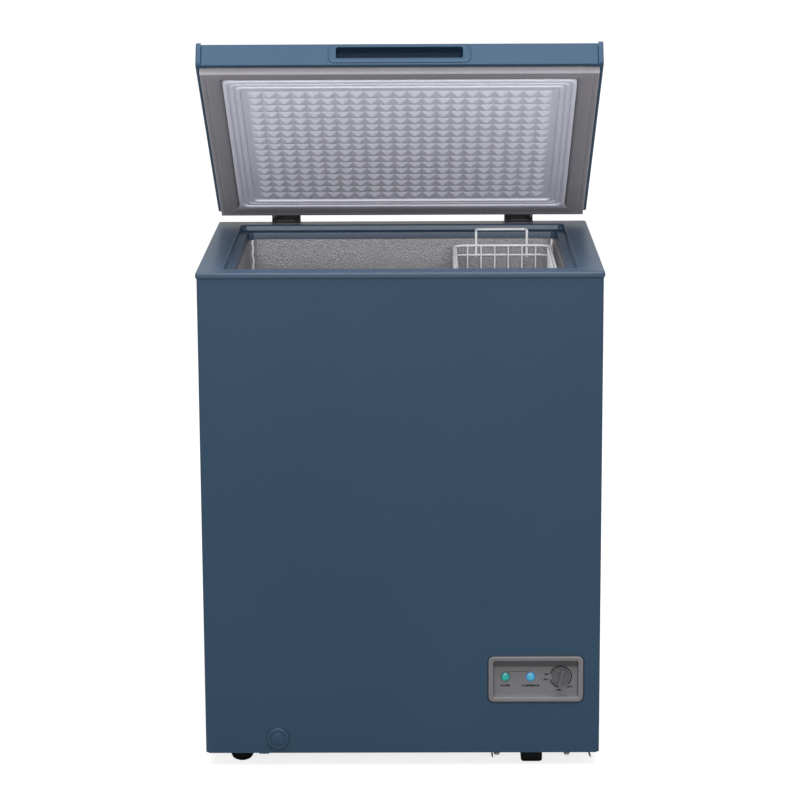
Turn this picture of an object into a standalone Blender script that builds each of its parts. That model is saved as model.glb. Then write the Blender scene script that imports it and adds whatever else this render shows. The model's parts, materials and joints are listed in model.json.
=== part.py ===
"""Compact chest freezer: foamed cabinet, sealed cooling circuit, lift-up lid, controls, drain and basket.

Units are metres, +Z is up and the front of the cabinet faces -Y.  The floor is Z = 0.  Heights of the lid,
the collar and the hinges are given from the top of the rim.  The lid is drawn shut and then swung open about
its hinge line, so the freezer stands with its lid ajar.
"""
import math

import bmesh
import bpy
from mathutils import Matrix, Vector

# --- Overall cabinet -----------------------------------------------------------------------------
BODY_WIDTH = 0.626
BODY_DEPTH = 0.521
BODY_BASE = 0.022
BODY_HEIGHT = 0.7755
GAP = 0.0003
SHEET = 0.001
CORNER_RADIUS = 0.003
BASE_FLANGE = 0.012
CORNER_NOTCH = 0.004

HALF_WIDTH = BODY_WIDTH / 2
HALF_DEPTH = BODY_DEPTH / 2
RIM_TOP = BODY_BASE + BODY_HEIGHT

# --- Collar round the mouth ----------------------------------------------------------------------
COLLAR_OVERHANG = 0.002
COLLAR_LIP = 0.008
COLLAR_WALL = 0.002
COLLAR_EDGE = 0.0012
COLLAR_CORNER = 0.004
RIM_WIDTH = 0.038
STEP_DROP = 0.010
LEDGE_WIDTH = 0.013
THROAT_DROP = 0.012
THROAT_CORNER = 0.012

COLLAR_HALF_X = HALF_WIDTH + COLLAR_OVERHANG
COLLAR_HALF_Y = HALF_DEPTH + COLLAR_OVERHANG
RIM_INSET = COLLAR_OVERHANG + RIM_WIDTH
LEDGE_INSET = RIM_INSET + LEDGE_WIDTH
LEDGE_TOP = RIM_TOP - STEP_DROP
THROAT_BOTTOM = LEDGE_TOP - THROAT_DROP

# --- Tank, foam and machine bay ------------------------------------------------------------------
LINER_INSET = 0.002
LINER_WALL = 0.001
LINER_FLANGE = 0.013
TANK_CORNER = 0.020
TANK_FLOOR = 0.082
HUMP_WALL = 0.054
HUMP_ROOF = 0.055
EVAPORATOR_GAP = 0.008
CONDENSER_GAP = 0.007
BAY_WIDTH = 0.183
BAY_TOP = 0.235
FOAM_TOP_CLEARANCE = 0.001

BAY_LEFT = HALF_WIDTH - BAY_WIDTH
HUMP_LEFT = BAY_LEFT - HUMP_WALL
HUMP_TOP = BAY_TOP + HUMP_ROOF
TANK_HALF_X = COLLAR_HALF_X - LEDGE_INSET - LINER_INSET
TANK_HALF_Y = COLLAR_HALF_Y - LEDGE_INSET - LINER_INSET
LINER_TOP = THROAT_BOTTOM - GAP

# --- Cooling circuit -----------------------------------------------------------------------------
EVAPORATOR_CLEARANCE = 0.001
EVAPORATOR_TURNS = 3
EVAPORATOR_RISE = 0.045
EVAPORATOR_TOP_MARGIN = 0.0062
CONDENSER_CLEARANCE = 0.0011
CONDENSER_PASSES = 4
CONDENSER_TOP_MARGIN = 0.1675
CONDENSER_RISE = 0.065
CONDENSER_BEND = 0.012
INLET_FROM_SIDE = 0.163
OUTLET_FROM_SIDE = 0.103
LINE_RADIUS = 0.003
LINE_CLEARANCE = 0.0012
CAPILLARY_RADIUS = 0.0012
CAPILLARY_COIL = 0.014
DRIER_RADIUS = 0.009
DRIER_LENGTH = 0.090
DRIER_RISE = 0.103
DRIER_FROM_SIDE = 0.0265
FIRST_LEG_FROM_BACK = 0.060
LAST_LEG_FROM_BACK = 0.025
LEG_DROP = 0.030

EVAPORATOR_RADIUS = EVAPORATOR_GAP / 2 - EVAPORATOR_CLEARANCE
EVAPORATOR_START = HUMP_TOP + EVAPORATOR_RISE
EVAPORATOR_HEIGHT = LINER_TOP - EVAPORATOR_TOP_MARGIN - EVAPORATOR_START
EVAPORATOR_PITCH = EVAPORATOR_HEIGHT / (2 * EVAPORATOR_TURNS + 1)
CONDENSER_RADIUS = CONDENSER_GAP / 2 - CONDENSER_CLEARANCE
CONDENSER_START = BAY_TOP + CONDENSER_RISE
CONDENSER_HEIGHT = RIM_TOP - CONDENSER_TOP_MARGIN - CONDENSER_START
CONDENSER_PITCH = CONDENSER_HEIGHT / (CONDENSER_PASSES - 1)
INLET_X = HALF_WIDTH - INLET_FROM_SIDE
OUTLET_X = HALF_WIDTH - OUTLET_FROM_SIDE

# --- Compressor and its base plate ---------------------------------------------------------------
PLATE_LEFT_MARGIN = 0.0127
PLATE_RIGHT_MARGIN = 0.015
PLATE_WALL = 0.0015
PLATE_FLANGE = 0.009
PLATE_END = 0.020
COMPRESSOR_FROM_SIDE = 0.091
COMPRESSOR_FROM_BACK = 0.1605
COMPRESSOR_RX = 0.060
COMPRESSOR_RY = 0.075
COMPRESSOR_HEIGHT = 0.152
SEAM_LIP = 0.003
SEAM_HEIGHT = 0.070
GROMMET_RADIUS = 0.010
GROMMET_HEIGHT = 0.014
MOUNT_BOLT_RADIUS = 0.003
MOUNT_X = 0.052
MOUNT_Y = 0.088
BRACKET_WALL = 0.0025
RELAY_WIDTH = 0.052
RELAY_DEPTH = 0.020
RELAY_HEIGHT = 0.062
RELAY_RISE = 0.030
RELAY_EDGE = 0.004

PLATE_LEFT = BAY_LEFT + PLATE_LEFT_MARGIN
PLATE_RIGHT = HALF_WIDTH - PLATE_RIGHT_MARGIN
COMPRESSOR_X = HALF_WIDTH - COMPRESSOR_FROM_SIDE
COMPRESSOR_Y = HALF_DEPTH - COMPRESSOR_FROM_BACK

# --- Control panel -------------------------------------------------------------------------------
PANEL_FROM_SIDE = 0.1013
PANEL_RISE = 0.1221
PANEL_WIDTH = 0.150
PANEL_HEIGHT = 0.075
PANEL_PROUD = 0.0022
PANEL_CORNER = 0.008
PANEL_WALL = 0.0016
RECESS_WIDTH = 0.134
RECESS_HEIGHT = 0.057
RECESS_DEPTH = 0.011
RECESS_CORNER = 0.0025
LAMP_RADIUS = 0.0055
POWER_LAMP_OFFSET = -0.0479
RUN_LAMP_OFFSET = -0.0078
KNOB_OFFSET = 0.0400
CONTROL_ROW = 0.0012
KNOB_RADIUS = 0.014
KNOB_SKIRT = 0.005
KNOB_GRIP = 0.007
KNOB_BAR = 0.0075
KNOB_TILT = math.radians(13)
SHAFT_RADIUS = 0.003
SHAFT_LENGTH = 0.012
RUNNING_CLEARANCE = 0.0004
THERMOSTAT_WIDTH = 0.044
THERMOSTAT_HEIGHT = 0.036
THERMOSTAT_DEPTH = 0.024
SENSOR_RADIUS = 0.001
SENSOR_INSET = 0.006
SENSOR_LENGTH = 0.150

PANEL_X = HALF_WIDTH - PANEL_FROM_SIDE
PANEL_Z = BODY_BASE + PANEL_RISE
POWER_LAMP_X = PANEL_X + POWER_LAMP_OFFSET
RUN_LAMP_X = PANEL_X + RUN_LAMP_OFFSET
KNOB_X = PANEL_X + KNOB_OFFSET

# --- Drain ---------------------------------------------------------------------------------------
DRAIN_FROM_SIDE = 0.115
DRAIN_FROM_FRONT = 0.0955
DRAIN_RISE = 0.0241
DRAIN_BORE = 0.0063
DRAIN_WALL = 0.0017
DRAIN_BEND = 0.018
DRAIN_CAP_RADIUS = 0.018
DRAIN_CAP_THICKNESS = 0.005
DRAIN_CAP_RING = 0.0105
DRAIN_NECK = 0.010
PLUG_RADIUS = 0.016
PLUG_THICKNESS = 0.004

DRAIN_X = -HALF_WIDTH + DRAIN_FROM_SIDE
DRAIN_Y = -HALF_DEPTH + DRAIN_FROM_FRONT
DRAIN_Z = BODY_BASE + DRAIN_RISE

# --- Ventilation and rear ------------------------------------------------------------------------
VENT_FROM_BACK = 0.1355
VENT_RISE = 0.098
VENT_LENGTH = 0.130
VENT_HEIGHT = 0.100
VENT_FRAME = 0.006
VENT_PROUD = 0.0012
VENT_SLOTS = 8
VENT_SLOT_HEIGHT = 0.005
COVER_SLOTS = 9
COVER_SLOT_HEIGHT = 0.006
COVER_OVERLAP = 0.008
GLAND_RADIUS = 0.010
GLAND_BORE = 0.0045
GLAND_FROM_BAY = 0.024
GLAND_RISE = 0.026
COVER_SLOT_START = 0.050
COVER_SLOT_PITCH = 0.0175
COVER_SLOT_MARGIN = 0.020

VENT_Y = HALF_DEPTH - VENT_FROM_BACK
VENT_Z = BODY_BASE + VENT_RISE
GLAND_X = BAY_LEFT + GLAND_FROM_BAY
GLAND_Z = BODY_BASE + GLAND_RISE

# --- Feet ----------------------------------------------------------------------------------------
FOOT_RADIUS = 0.0163
LEFT_FOOT_FROM_SIDE = 0.0556
FOOT_INSET_Y = 0.036
BLOCK_FOOT_WIDTH = 0.034
BLOCK_FOOT_LENGTH = 0.036
RIGHT_FOOT_FROM_SIDE = 0.1066

LEFT_FOOT_X = -HALF_WIDTH + LEFT_FOOT_FROM_SIDE
RIGHT_FOOT_X = HALF_WIDTH - RIGHT_FOOT_FROM_SIDE

# --- Lid -----------------------------------------------------------------------------------------
HINGE_SETBACK = 0.006
HINGE_RISE = 0.0148
LID_OPEN = math.radians(34.1)
LID_FRONT_OVERHANG = 0.001
LID_BACK_INSET = 0.0065
LID_BOTTOM = 0.0124
LID_TOP = 0.0491
LID_SIDE_INSET = 0.0078
LID_SHEET = 0.001
LID_RETURN = 0.0085
LID_EDGE = 0.002
TRIM_WIDTH = 0.0076
TRIM_PROUD = 0.0036
TRIM_END = 0.006
TRIM_CORNER = 0.004
GASKET_HEIGHT = 0.0116
GASKET_LIFT = 0.0006
GASKET_SIDE_INSET = 0.006
GASKET_FRONT_INSET = 0.008
GASKET_BACK_INSET = 0.0125
WELL_SIDE_INSET = 0.0395
WELL_FRONT_INSET = 0.0325
WELL_BACK_INSET = 0.0425
WELL_CLEARANCE = 0.0015
LID_LINER_WALL = 0.0012
LID_LINER_FLANGE = 0.022
FIELD_SIDE_MARGIN = 0.0370
FIELD_FRONT_MARGIN = 0.0384
FIELD_BACK_MARGIN = 0.0324
FIELD_COLUMNS = 21
FIELD_ROWS = 17
FIELD_LEVEL = 0.0050
RIDGE_LEVEL = 0.0015
PYRAMID_HEIGHT = 0.0045

HINGE_Y = HALF_DEPTH + HINGE_SETBACK
LID_FRONT = -COLLAR_HALF_Y - LID_FRONT_OVERHANG
LID_BACK = HALF_DEPTH - LID_BACK_INSET
LID_HALF_X = COLLAR_HALF_X - LID_SIDE_INSET
GASKET_HALF_X = COLLAR_HALF_X - GASKET_SIDE_INSET
GASKET_FRONT = -COLLAR_HALF_Y + GASKET_FRONT_INSET
GASKET_BACK = COLLAR_HALF_Y - GASKET_BACK_INSET
WELL_HALF_X = COLLAR_HALF_X - WELL_SIDE_INSET
WELL_FRONT = -COLLAR_HALF_Y + WELL_FRONT_INSET
WELL_BACK = COLLAR_HALF_Y - WELL_BACK_INSET
FIELD_HALF_X = WELL_HALF_X - FIELD_SIDE_MARGIN
FIELD_FRONT = WELL_FRONT + FIELD_FRONT_MARGIN
FIELD_BACK = WELL_BACK - FIELD_BACK_MARGIN
LID_LINER_LEVEL = LID_BOTTOM + LID_SHEET + GAP

# --- Lid handle ----------------------------------------------------------------------------------
HANDLE_HALF_X = 0.110
HANDLE_LOW = 0.0157
HANDLE_HIGH = 0.0473
HANDLE_CORNER = 0.009
HANDLE_PROUD = 0.0008
POCKET_HALF_X = 0.098
POCKET_LOW = 0.0237
POCKET_HIGH = 0.0429
POCKET_DEPTH = 0.020
POCKET_CORNER = 0.0035
POCKET_WALL = 0.0016

# --- Hinges --------------------------------------------------------------------------------------
HINGE_FROM_SIDE = 0.1135
HINGE_WIDTH = 0.048
HINGE_PLATE = 0.002
HINGE_DEPTH = 0.035
HINGE_TAPER = 0.025
HINGE_TOE = 0.015
HINGE_DROP = 0.095
HINGE_NOSE = 0.008
HINGE_FOOT = 0.008
LEAF_WIDTH = 0.035
LEAF_PLATE = 0.0016
LEAF_NOSE = 0.006
LEAF_MARGIN = 0.0051
PIN_RADIUS = 0.003
PIN_HEAD = 0.0045
PIN_OVERHANG = 0.0015
SPRING_TURNS = 5
SPRING_WIRE = 0.0009

HINGE_X = HALF_WIDTH - HINGE_FROM_SIDE
HINGE_REAR = HALF_DEPTH + HINGE_DEPTH

# --- Basket --------------------------------------------------------------------------------------
BASKET_WIDTH = 0.167
BASKET_SIDE_CLEARANCE = 0.008
BASKET_END_CLEARANCE = 0.013
BASKET_RIM_DROP = 0.030
BASKET_HEIGHT = 0.200
BASKET_WIRE = 0.0036
BASKET_CORNER = 0.016
BASKET_LONG_BARS = 6
BASKET_SHORT_BARS = 3
BASKET_RAILS = 2
HOOK_WIDTH = 0.090
HOOK_WIRE = 0.004
HOOK_REACH = 0.010

BASKET_RIGHT = TANK_HALF_X - BASKET_SIDE_CLEARANCE
BASKET_LEFT = BASKET_RIGHT - BASKET_WIDTH

# The rest pose is centred front to back between the hinge housings and the drain cap.
ORIGIN_Y = (HINGE_REAR - HALF_DEPTH - GAP - DRAIN_CAP_THICKNESS) / 2

SMOOTH_ANGLE = math.radians(35)
ROUND_STEPS = 4


# --- Materials -----------------------------------------------------------------------------------
def srgb_to_linear(level):
    """Linear value of one 0-255 display level."""
    share = level / 255
    if share <= 0.04045:
        return share / 12.92
    return ((share + 0.055) / 1.055) ** 2.4


def make_material(name, levels, roughness, metallic=0.0):
    """Principled material from a display colour, its roughness and its metallic value."""
    material = bpy.data.materials.new(name)
    material.use_nodes = True
    shader = material.node_tree.nodes["Principled BSDF"]
    color = [srgb_to_linear(level) for level in levels] + [1.0]
    shader.inputs["Base Color"].default_value = color
    shader.inputs["Roughness"].default_value = roughness
    shader.inputs["Metallic"].default_value = metallic
    material.diffuse_color = color
    return material


# --- Mesh helpers --------------------------------------------------------------------------------
def rounded_rectangle(low_u, high_u, low_v, high_v, radius, steps=ROUND_STEPS):
    """Points of a rectangle with rounded corners, anticlockwise from its low corner."""
    centres = ((low_u + radius, low_v + radius, 180), (high_u - radius, low_v + radius, 270),
               (high_u - radius, high_v - radius, 0), (low_u + radius, high_v - radius, 90))
    points = []
    for centre_u, centre_v, start in centres:
        for step in range(steps + 1):
            angle = math.radians(start + 90 * step / steps)
            points.append((centre_u + radius * math.cos(angle), centre_v + radius * math.sin(angle)))
    return points


def arc_points(centre_u, centre_v, radius, start, end, steps):
    """Points along an arc between two angles in degrees."""
    points = []
    for step in range(steps + 1):
        angle = math.radians(start + (end - start) * step / steps)
        points.append((centre_u + radius * math.cos(angle), centre_v + radius * math.sin(angle)))
    return points


def plan_ring(half_x, low_y, high_y, radius, z, steps=ROUND_STEPS):
    """Rounded rectangle ring lying level at height z."""
    outline = rounded_rectangle(-half_x, half_x, low_y, high_y, radius, steps)
    return [Vector((x, y, z)) for x, y in outline]


def front_ring(centre_x, centre_z, width, height, radius, y):
    """Rounded rectangle ring standing upright at depth y."""
    outline = rounded_rectangle(centre_x - width / 2, centre_x + width / 2,
                                centre_z - height / 2, centre_z + height / 2, radius)
    return [Vector((x, y, z)) for x, z in outline]


def ring_body(rings, loop=False):
    """Closed body skinned over a stack of rings; a loop joins the last ring to the first."""
    bm = bmesh.new()
    rows = [[bm.verts.new(point) for point in ring] for ring in rings]
    pairs = list(zip(rows, rows[1:]))
    if loop:
        pairs.append((rows[-1], rows[0]))
    for low, high in pairs:
        for index, vert in enumerate(low):
            following = (index + 1) % len(low)
            bm.faces.new((vert, low[following], high[following], high[index]))
    if not loop:
        bm.faces.new(rows[0])
        bm.faces.new(rows[-1])
    bmesh.ops.recalc_face_normals(bm, faces=bm.faces)
    return bm


def prism_body(outline, low, high, place):
    """Closed prism of a flat outline; place turns (u, v, along) into a point."""
    return ring_body([[place(u, v, along) for u, v in outline] for along in (low, high)])


def plan_prism(outline, low_z, high_z):
    """Prism of a plan outline between two heights."""
    return prism_body(outline, low_z, high_z, lambda x, y, z: Vector((x, y, z)))


def side_prism(outline, low_x, high_x):
    """Prism of a (y, z) outline between two x positions."""
    return prism_body(outline, low_x, high_x, lambda y, z, x: Vector((x, y, z)))


def front_prism(outline, low_y, high_y):
    """Prism of an (x, z) outline between two y positions."""
    return prism_body(outline, low_y, high_y, lambda x, z, y: Vector((x, y, z)))


def box_body(low, high):
    """Closed box between two opposite corners."""
    outline = ((low[0], low[1]), (high[0], low[1]), (high[0], high[1]), (low[0], high[1]))
    return plan_prism(outline, low[2], high[2])


def boxes_body(corners):
    """Several separate boxes in one mesh, for cutting a pattern of openings."""
    bm = bmesh.new()
    for low, high in corners:
        size = Vector(high) - Vector(low)
        centre = (Vector(high) + Vector(low)) / 2
        placing = Matrix.Translation(centre) @ Matrix.Diagonal((size.x, size.y, size.z, 1))
        bmesh.ops.create_cube(bm, size=1.0, matrix=placing)
    return bm


def turned_body(profile, centre, axis, steps=24, squash=1.0):
    """Turned body from (radius, distance along the axis) points, both ends closed by flat discs."""
    turn = Vector((0, 0, 1)).rotation_difference(Vector(axis)).to_matrix()
    rings = []
    for radius, along in profile:
        ring = []
        for step in range(steps):
            angle = 2 * math.pi * step / steps
            point = Vector((radius * math.cos(angle), radius * squash * math.sin(angle), along))
            ring.append(Vector(centre) + turn @ point)
        rings.append(ring)
    return ring_body(rings)


def tube_body(points, radius, sides=8, bore=0.0):
    """Tube swept along a path of points, hollow when it has a bore."""
    path = [Vector(point) for point in points]
    tangents = []
    for index in range(len(path)):
        before = path[max(index - 1, 0)]
        after = path[min(index + 1, len(path) - 1)]
        tangents.append((after - before).normalized())
    across = tangents[0].orthogonal().normalized()
    outer = []
    inner = []
    for index, tangent in enumerate(tangents):
        if index:
            across = tangents[index - 1].rotation_difference(tangent) @ across
        across = (across - tangent * across.dot(tangent)).normalized()
        upward = tangent.cross(across)
        directions = []
        for side in range(sides):
            angle = 2 * math.pi * side / sides
            directions.append(across * math.cos(angle) + upward * math.sin(angle))
        outer.append([path[index] + direction * radius for direction in directions])
        inner.append([path[index] + direction * bore for direction in directions])
    if bore:
        return ring_body(outer + inner[::-1], loop=True)
    return ring_body(outer)


def bent_path(corners, radius, steps=4):
    """Path through corner points with each corner rounded to a radius."""
    points = [Vector(corners[0])]
    for index in range(1, len(corners) - 1):
        corner = Vector(corners[index])
        back = (Vector(corners[index - 1]) - corner)
        ahead = (Vector(corners[index + 1]) - corner)
        reach = min(radius, back.length * 0.49, ahead.length * 0.49)
        start = corner + back.normalized() * reach
        end = corner + ahead.normalized() * reach
        for step in range(steps + 1):
            share = step / steps
            points.append(start.lerp(corner, share).lerp(corner.lerp(end, share), share))
    points.append(Vector(corners[-1]))
    return points


def add_part(name, bm, material, parent):
    """Turn a built mesh into a named part under its parent empty, with its origin at the parent."""
    mesh = bpy.data.meshes.new(name)
    bm.to_mesh(mesh)
    bm.free()
    mesh.transform(Matrix.Translation(-parent.location))
    mesh.shade_smooth()
    mesh.set_sharp_from_angle(angle=SMOOTH_ANGLE)
    part = bpy.data.objects.new(name, mesh)
    bpy.context.scene.collection.objects.link(part)
    part.parent = parent
    if material:
        mesh.materials.append(material)
    return part


def add_pivot(name, place, parent=None):
    """Empty that carries the pieces of one body."""
    pivot = bpy.data.objects.new(name, None)
    bpy.context.scene.collection.objects.link(pivot)
    pivot.location = place
    pivot.parent = parent
    return pivot


def combine(part, bm, operation):
    """Join a helper body to a part, or cut the part with it, by a Boolean modifier."""
    helper = add_part(part.name + "_tool", bm, None, part.parent)
    helper.hide_render = True
    helper.display_type = "WIRE"
    modifier = part.modifiers.new(operation.lower(), "BOOLEAN")
    modifier.operation = operation
    modifier.solver = "EXACT"
    modifier.object = helper


def cut(part, bm):
    """Cut a part with a closed body."""
    combine(part, bm, "DIFFERENCE")


def weld(part, bm):
    """Weld a closed body onto a part."""
    combine(part, bm, "UNION")


# --- Cabinet shell -------------------------------------------------------------------------------
def wrap_outline(thickness):
    """Plan outline of the wrap: front and both sides, open at the back."""
    outer_radius = CORNER_RADIUS
    inner_radius = max(CORNER_RADIUS - thickness, 0.0004)
    inner_x = HALF_WIDTH - thickness
    inner_y = -HALF_DEPTH + thickness
    outline = [(-HALF_WIDTH, HALF_DEPTH)]
    outline += arc_points(-HALF_WIDTH + outer_radius, -HALF_DEPTH + outer_radius, outer_radius, 180, 270, 3)
    outline += arc_points(HALF_WIDTH - outer_radius, -HALF_DEPTH + outer_radius, outer_radius, 270, 360, 3)
    outline += [(HALF_WIDTH, HALF_DEPTH), (inner_x, HALF_DEPTH)]
    outline += arc_points(inner_x - inner_radius, inner_y + inner_radius, inner_radius, 360, 270, 2)
    outline += arc_points(-inner_x + inner_radius, inner_y + inner_radius, inner_radius, 270, 180, 2)
    outline.append((-inner_x, HALF_DEPTH))
    return outline


def make_outer_wrap(paint, cabinet):
    """Painted steel sheet bent round the front and both sides, with a turned-in foot flange."""
    top = RIM_TOP - COLLAR_WALL - GAP
    wrap = add_part("outer_wrap", plan_prism(wrap_outline(SHEET), BODY_BASE, top), paint, cabinet)
    weld(wrap, plan_prism(wrap_outline(BASE_FLANGE), BODY_BASE, BODY_BASE + SHEET))
    for side in (-1, 1):
        inner = side * (HALF_WIDTH - CORNER_NOTCH)
        outer = side * (HALF_WIDTH + CORNER_NOTCH)
        cut(wrap, box_body((min(inner, outer), -HALF_DEPTH - CORNER_NOTCH, BODY_BASE - CORNER_NOTCH),
                           (max(inner, outer), -HALF_DEPTH + CORNER_NOTCH, BODY_BASE + CORNER_NOTCH)))
    tray_width = RECESS_WIDTH + 2 * (PANEL_WALL + GAP)
    tray_height = RECESS_HEIGHT + 2 * (PANEL_WALL + GAP)
    cut(wrap, box_body((PANEL_X - tray_width / 2, -HALF_DEPTH - SHEET, PANEL_Z - tray_height / 2),
                       (PANEL_X + tray_width / 2, -HALF_DEPTH + 2 * SHEET, PANEL_Z + tray_height / 2)))
    hole = DRAIN_BORE + DRAIN_WALL + GAP
    cut(wrap, turned_body(((hole, -SHEET), (hole, 2 * SHEET)), (DRAIN_X, -HALF_DEPTH, DRAIN_Z), (0, 1, 0)))
    vent_y = VENT_LENGTH / 2 - VENT_FRAME + GAP
    vent_z = VENT_HEIGHT / 2 - VENT_FRAME + GAP
    cut(wrap, box_body((HALF_WIDTH - 2 * SHEET, VENT_Y - vent_y, VENT_Z - vent_z),
                       (HALF_WIDTH + SHEET, VENT_Y + vent_y, VENT_Z + vent_z)))
    return wrap


def make_back_panel(steel, cabinet):
    """Flat back sheet between the wrap's sides, open where the machine bay is serviced."""
    half = HALF_WIDTH - SHEET - GAP
    top = RIM_TOP - COLLAR_WALL - GAP
    low = BODY_BASE + SHEET + GAP
    outline = ((-half, low), (BAY_LEFT, low), (BAY_LEFT, BAY_TOP), (half, BAY_TOP), (half, top), (-half, top))
    return add_part("back_panel", front_prism(outline, HALF_DEPTH - SHEET, HALF_DEPTH), steel, cabinet)


def make_bottom_panel(steel, cabinet):
    """Flat sheet under the foam, left of the machine bay."""
    low = BODY_BASE + SHEET + GAP
    inset = SHEET + GAP
    panel = box_body((-HALF_WIDTH + inset, -HALF_DEPTH + CORNER_RADIUS + GAP, low),
                     (BAY_LEFT - SHEET - GAP, HALF_DEPTH - SHEET - GAP, low + SHEET))
    return add_part("bottom_panel", panel, steel, cabinet)


def make_bay_panel(steel, cabinet):
    """Folded sheet that closes the foam off from the machine bay."""
    right = HALF_WIDTH - SHEET - GAP
    low = BODY_BASE + SHEET + GAP
    outline = ((BAY_LEFT - SHEET, low), (BAY_LEFT, low), (BAY_LEFT, BAY_TOP - SHEET),
               (right, BAY_TOP - SHEET), (right, BAY_TOP), (BAY_LEFT - SHEET, BAY_TOP))
    panel = add_part("machine_bay_panel", front_prism(outline, -HALF_DEPTH + CORNER_RADIUS + GAP,
                                                      HALF_DEPTH - SHEET - GAP), steel, cabinet)
    for place, radius in line_holes():
        cut(panel, turned_body(((radius, -2 * SHEET), (radius, SHEET)), (*place, BAY_TOP), (0, 0, 1), 12))
    side = HALF_WIDTH - SHEET - CONDENSER_GAP
    for y in condenser_legs():
        cut(panel, box_body((side, y - CONDENSER_GAP / 2, BAY_TOP - 2 * SHEET),
                            (HALF_WIDTH, y + CONDENSER_GAP / 2, BAY_TOP + SHEET)))
    return panel


def frame_ring(inset, drop, radius):
    """Ring of the collar at an inset from its outer edge and a drop from the rim top."""
    return plan_ring(COLLAR_HALF_X - inset, -COLLAR_HALF_Y + inset, COLLAR_HALF_Y - inset, radius,
                     RIM_TOP - drop)


def make_rim_collar(paint, cabinet):
    """Moulded collar: outer lip, flat rim, basket ledge and throat, notched for the hinges."""
    lip = COLLAR_OVERHANG - GAP
    under_rim = RIM_INSET - COLLAR_WALL
    throat = LEDGE_INSET + COLLAR_WALL
    inner = THROAT_CORNER + COLLAR_WALL
    rings = [frame_ring(0, COLLAR_LIP, COLLAR_CORNER), frame_ring(0, COLLAR_EDGE, COLLAR_CORNER),
             frame_ring(COLLAR_EDGE, 0, COLLAR_CORNER), frame_ring(RIM_INSET - COLLAR_EDGE, 0, THROAT_CORNER),
             frame_ring(RIM_INSET, COLLAR_EDGE, THROAT_CORNER), frame_ring(RIM_INSET, STEP_DROP, THROAT_CORNER),
             frame_ring(LEDGE_INSET - COLLAR_EDGE, STEP_DROP, THROAT_CORNER),
             frame_ring(LEDGE_INSET, STEP_DROP + COLLAR_EDGE, THROAT_CORNER),
             frame_ring(LEDGE_INSET, STEP_DROP + THROAT_DROP, THROAT_CORNER),
             frame_ring(LEDGE_INSET - COLLAR_WALL, STEP_DROP + THROAT_DROP, inner),
             frame_ring(LEDGE_INSET - COLLAR_WALL, STEP_DROP + COLLAR_WALL, inner),
             frame_ring(under_rim, STEP_DROP + COLLAR_WALL, inner),
             frame_ring(under_rim, COLLAR_WALL, inner), frame_ring(lip, COLLAR_WALL, GAP),
             frame_ring(lip, COLLAR_LIP, GAP)]
    collar = add_part("rim_collar", ring_body(rings, loop=True), paint, cabinet)
    notch = HINGE_WIDTH / 2 + GAP
    for side in (-1, 1):
        centre = side * HINGE_X
        cut(collar, box_body((centre - notch, HALF_DEPTH, RIM_TOP - 2 * COLLAR_LIP),
                             (centre + notch, COLLAR_HALF_Y + throat, RIM_TOP + COLLAR_WALL)))
    return collar


# --- Tank and foam -------------------------------------------------------------------------------
def tank_body(offset, top):
    """Solid of the tank's inside grown by an offset: a stepped box with rounded upright corners."""
    left = -TANK_HALF_X - offset
    right = TANK_HALF_X + offset
    low_y = -TANK_HALF_Y - offset
    high_y = TANK_HALF_Y + offset
    outline = ((left, TANK_FLOOR - offset), (HUMP_LEFT + offset, TANK_FLOOR - offset),
               (HUMP_LEFT + offset, HUMP_TOP - offset), (right, HUMP_TOP - offset), (right, top), (left, top))
    bm = front_prism(outline, low_y, high_y)
    uprights = [edge for edge in bm.edges if is_outer_upright(edge, left, right)]
    bmesh.ops.bevel(bm, geom=uprights, offset=TANK_CORNER + offset, segments=ROUND_STEPS, affect="EDGES",
                    profile=0.5)
    bmesh.ops.recalc_face_normals(bm, faces=bm.faces)
    return bm


def is_outer_upright(edge, left, right):
    """True for an upright edge on one of the tank's outer corners."""
    first, second = (vert.co for vert in edge.verts)
    if abs(first.z - second.z) < GAP:
        return False
    return min(abs(first.x - left), abs(first.x - right)) < GAP


def make_inner_liner(aluminium, cabinet):
    """Embossed aluminium tank with a step over the machine bay and a flange under the collar."""
    flange = TANK_CORNER + LINER_FLANGE
    outline = rounded_rectangle(-TANK_HALF_X - LINER_FLANGE, TANK_HALF_X + LINER_FLANGE,
                                -TANK_HALF_Y - LINER_FLANGE, TANK_HALF_Y + LINER_FLANGE, flange)
    liner = add_part("inner_liner", tank_body(LINER_WALL, LINER_TOP), aluminium, cabinet)
    weld(liner, plan_prism(outline, LINER_TOP - LINER_WALL, LINER_TOP))
    cut(liner, tank_body(0.0, LINER_TOP + STEP_DROP))
    hole = DRAIN_BORE + GAP
    cut(liner, turned_body(((hole, -2 * LINER_WALL), (hole, LINER_WALL)), (DRAIN_X, DRAIN_Y, TANK_FLOOR),
                           (0, 0, 1)))
    return liner


def foam_outline():
    """Front outline of the foam, stepped over the machine bay."""
    left = -HALF_WIDTH + SHEET + CONDENSER_GAP
    right = HALF_WIDTH - SHEET - CONDENSER_GAP
    low = BODY_BASE + 2 * SHEET + 2 * GAP
    step = BAY_TOP + GAP
    top = RIM_TOP - COLLAR_WALL - FOAM_TOP_CLEARANCE
    wall = BAY_LEFT - SHEET - GAP
    return ((left, low), (wall, low), (wall, step), (right, step), (right, top), (left, top))


def foam_block():
    """Foam before it is cut, with its front corners taken off where the condenser bends round them."""
    front = -HALF_DEPTH + SHEET + CONDENSER_GAP
    back = HALF_DEPTH - SHEET - GAP
    bm = front_prism(foam_outline(), front, back)
    side = HALF_WIDTH - SHEET - CONDENSER_GAP
    corners = [edge for edge in bm.edges if is_outer_upright(edge, -side, side)
               and edge.verts[0].co.y < 0]
    bmesh.ops.bevel(bm, geom=corners, offset=CONDENSER_BEND, segments=1, affect="EDGES", profile=0.5)
    bmesh.ops.recalc_face_normals(bm, faces=bm.faces)
    return bm


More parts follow.
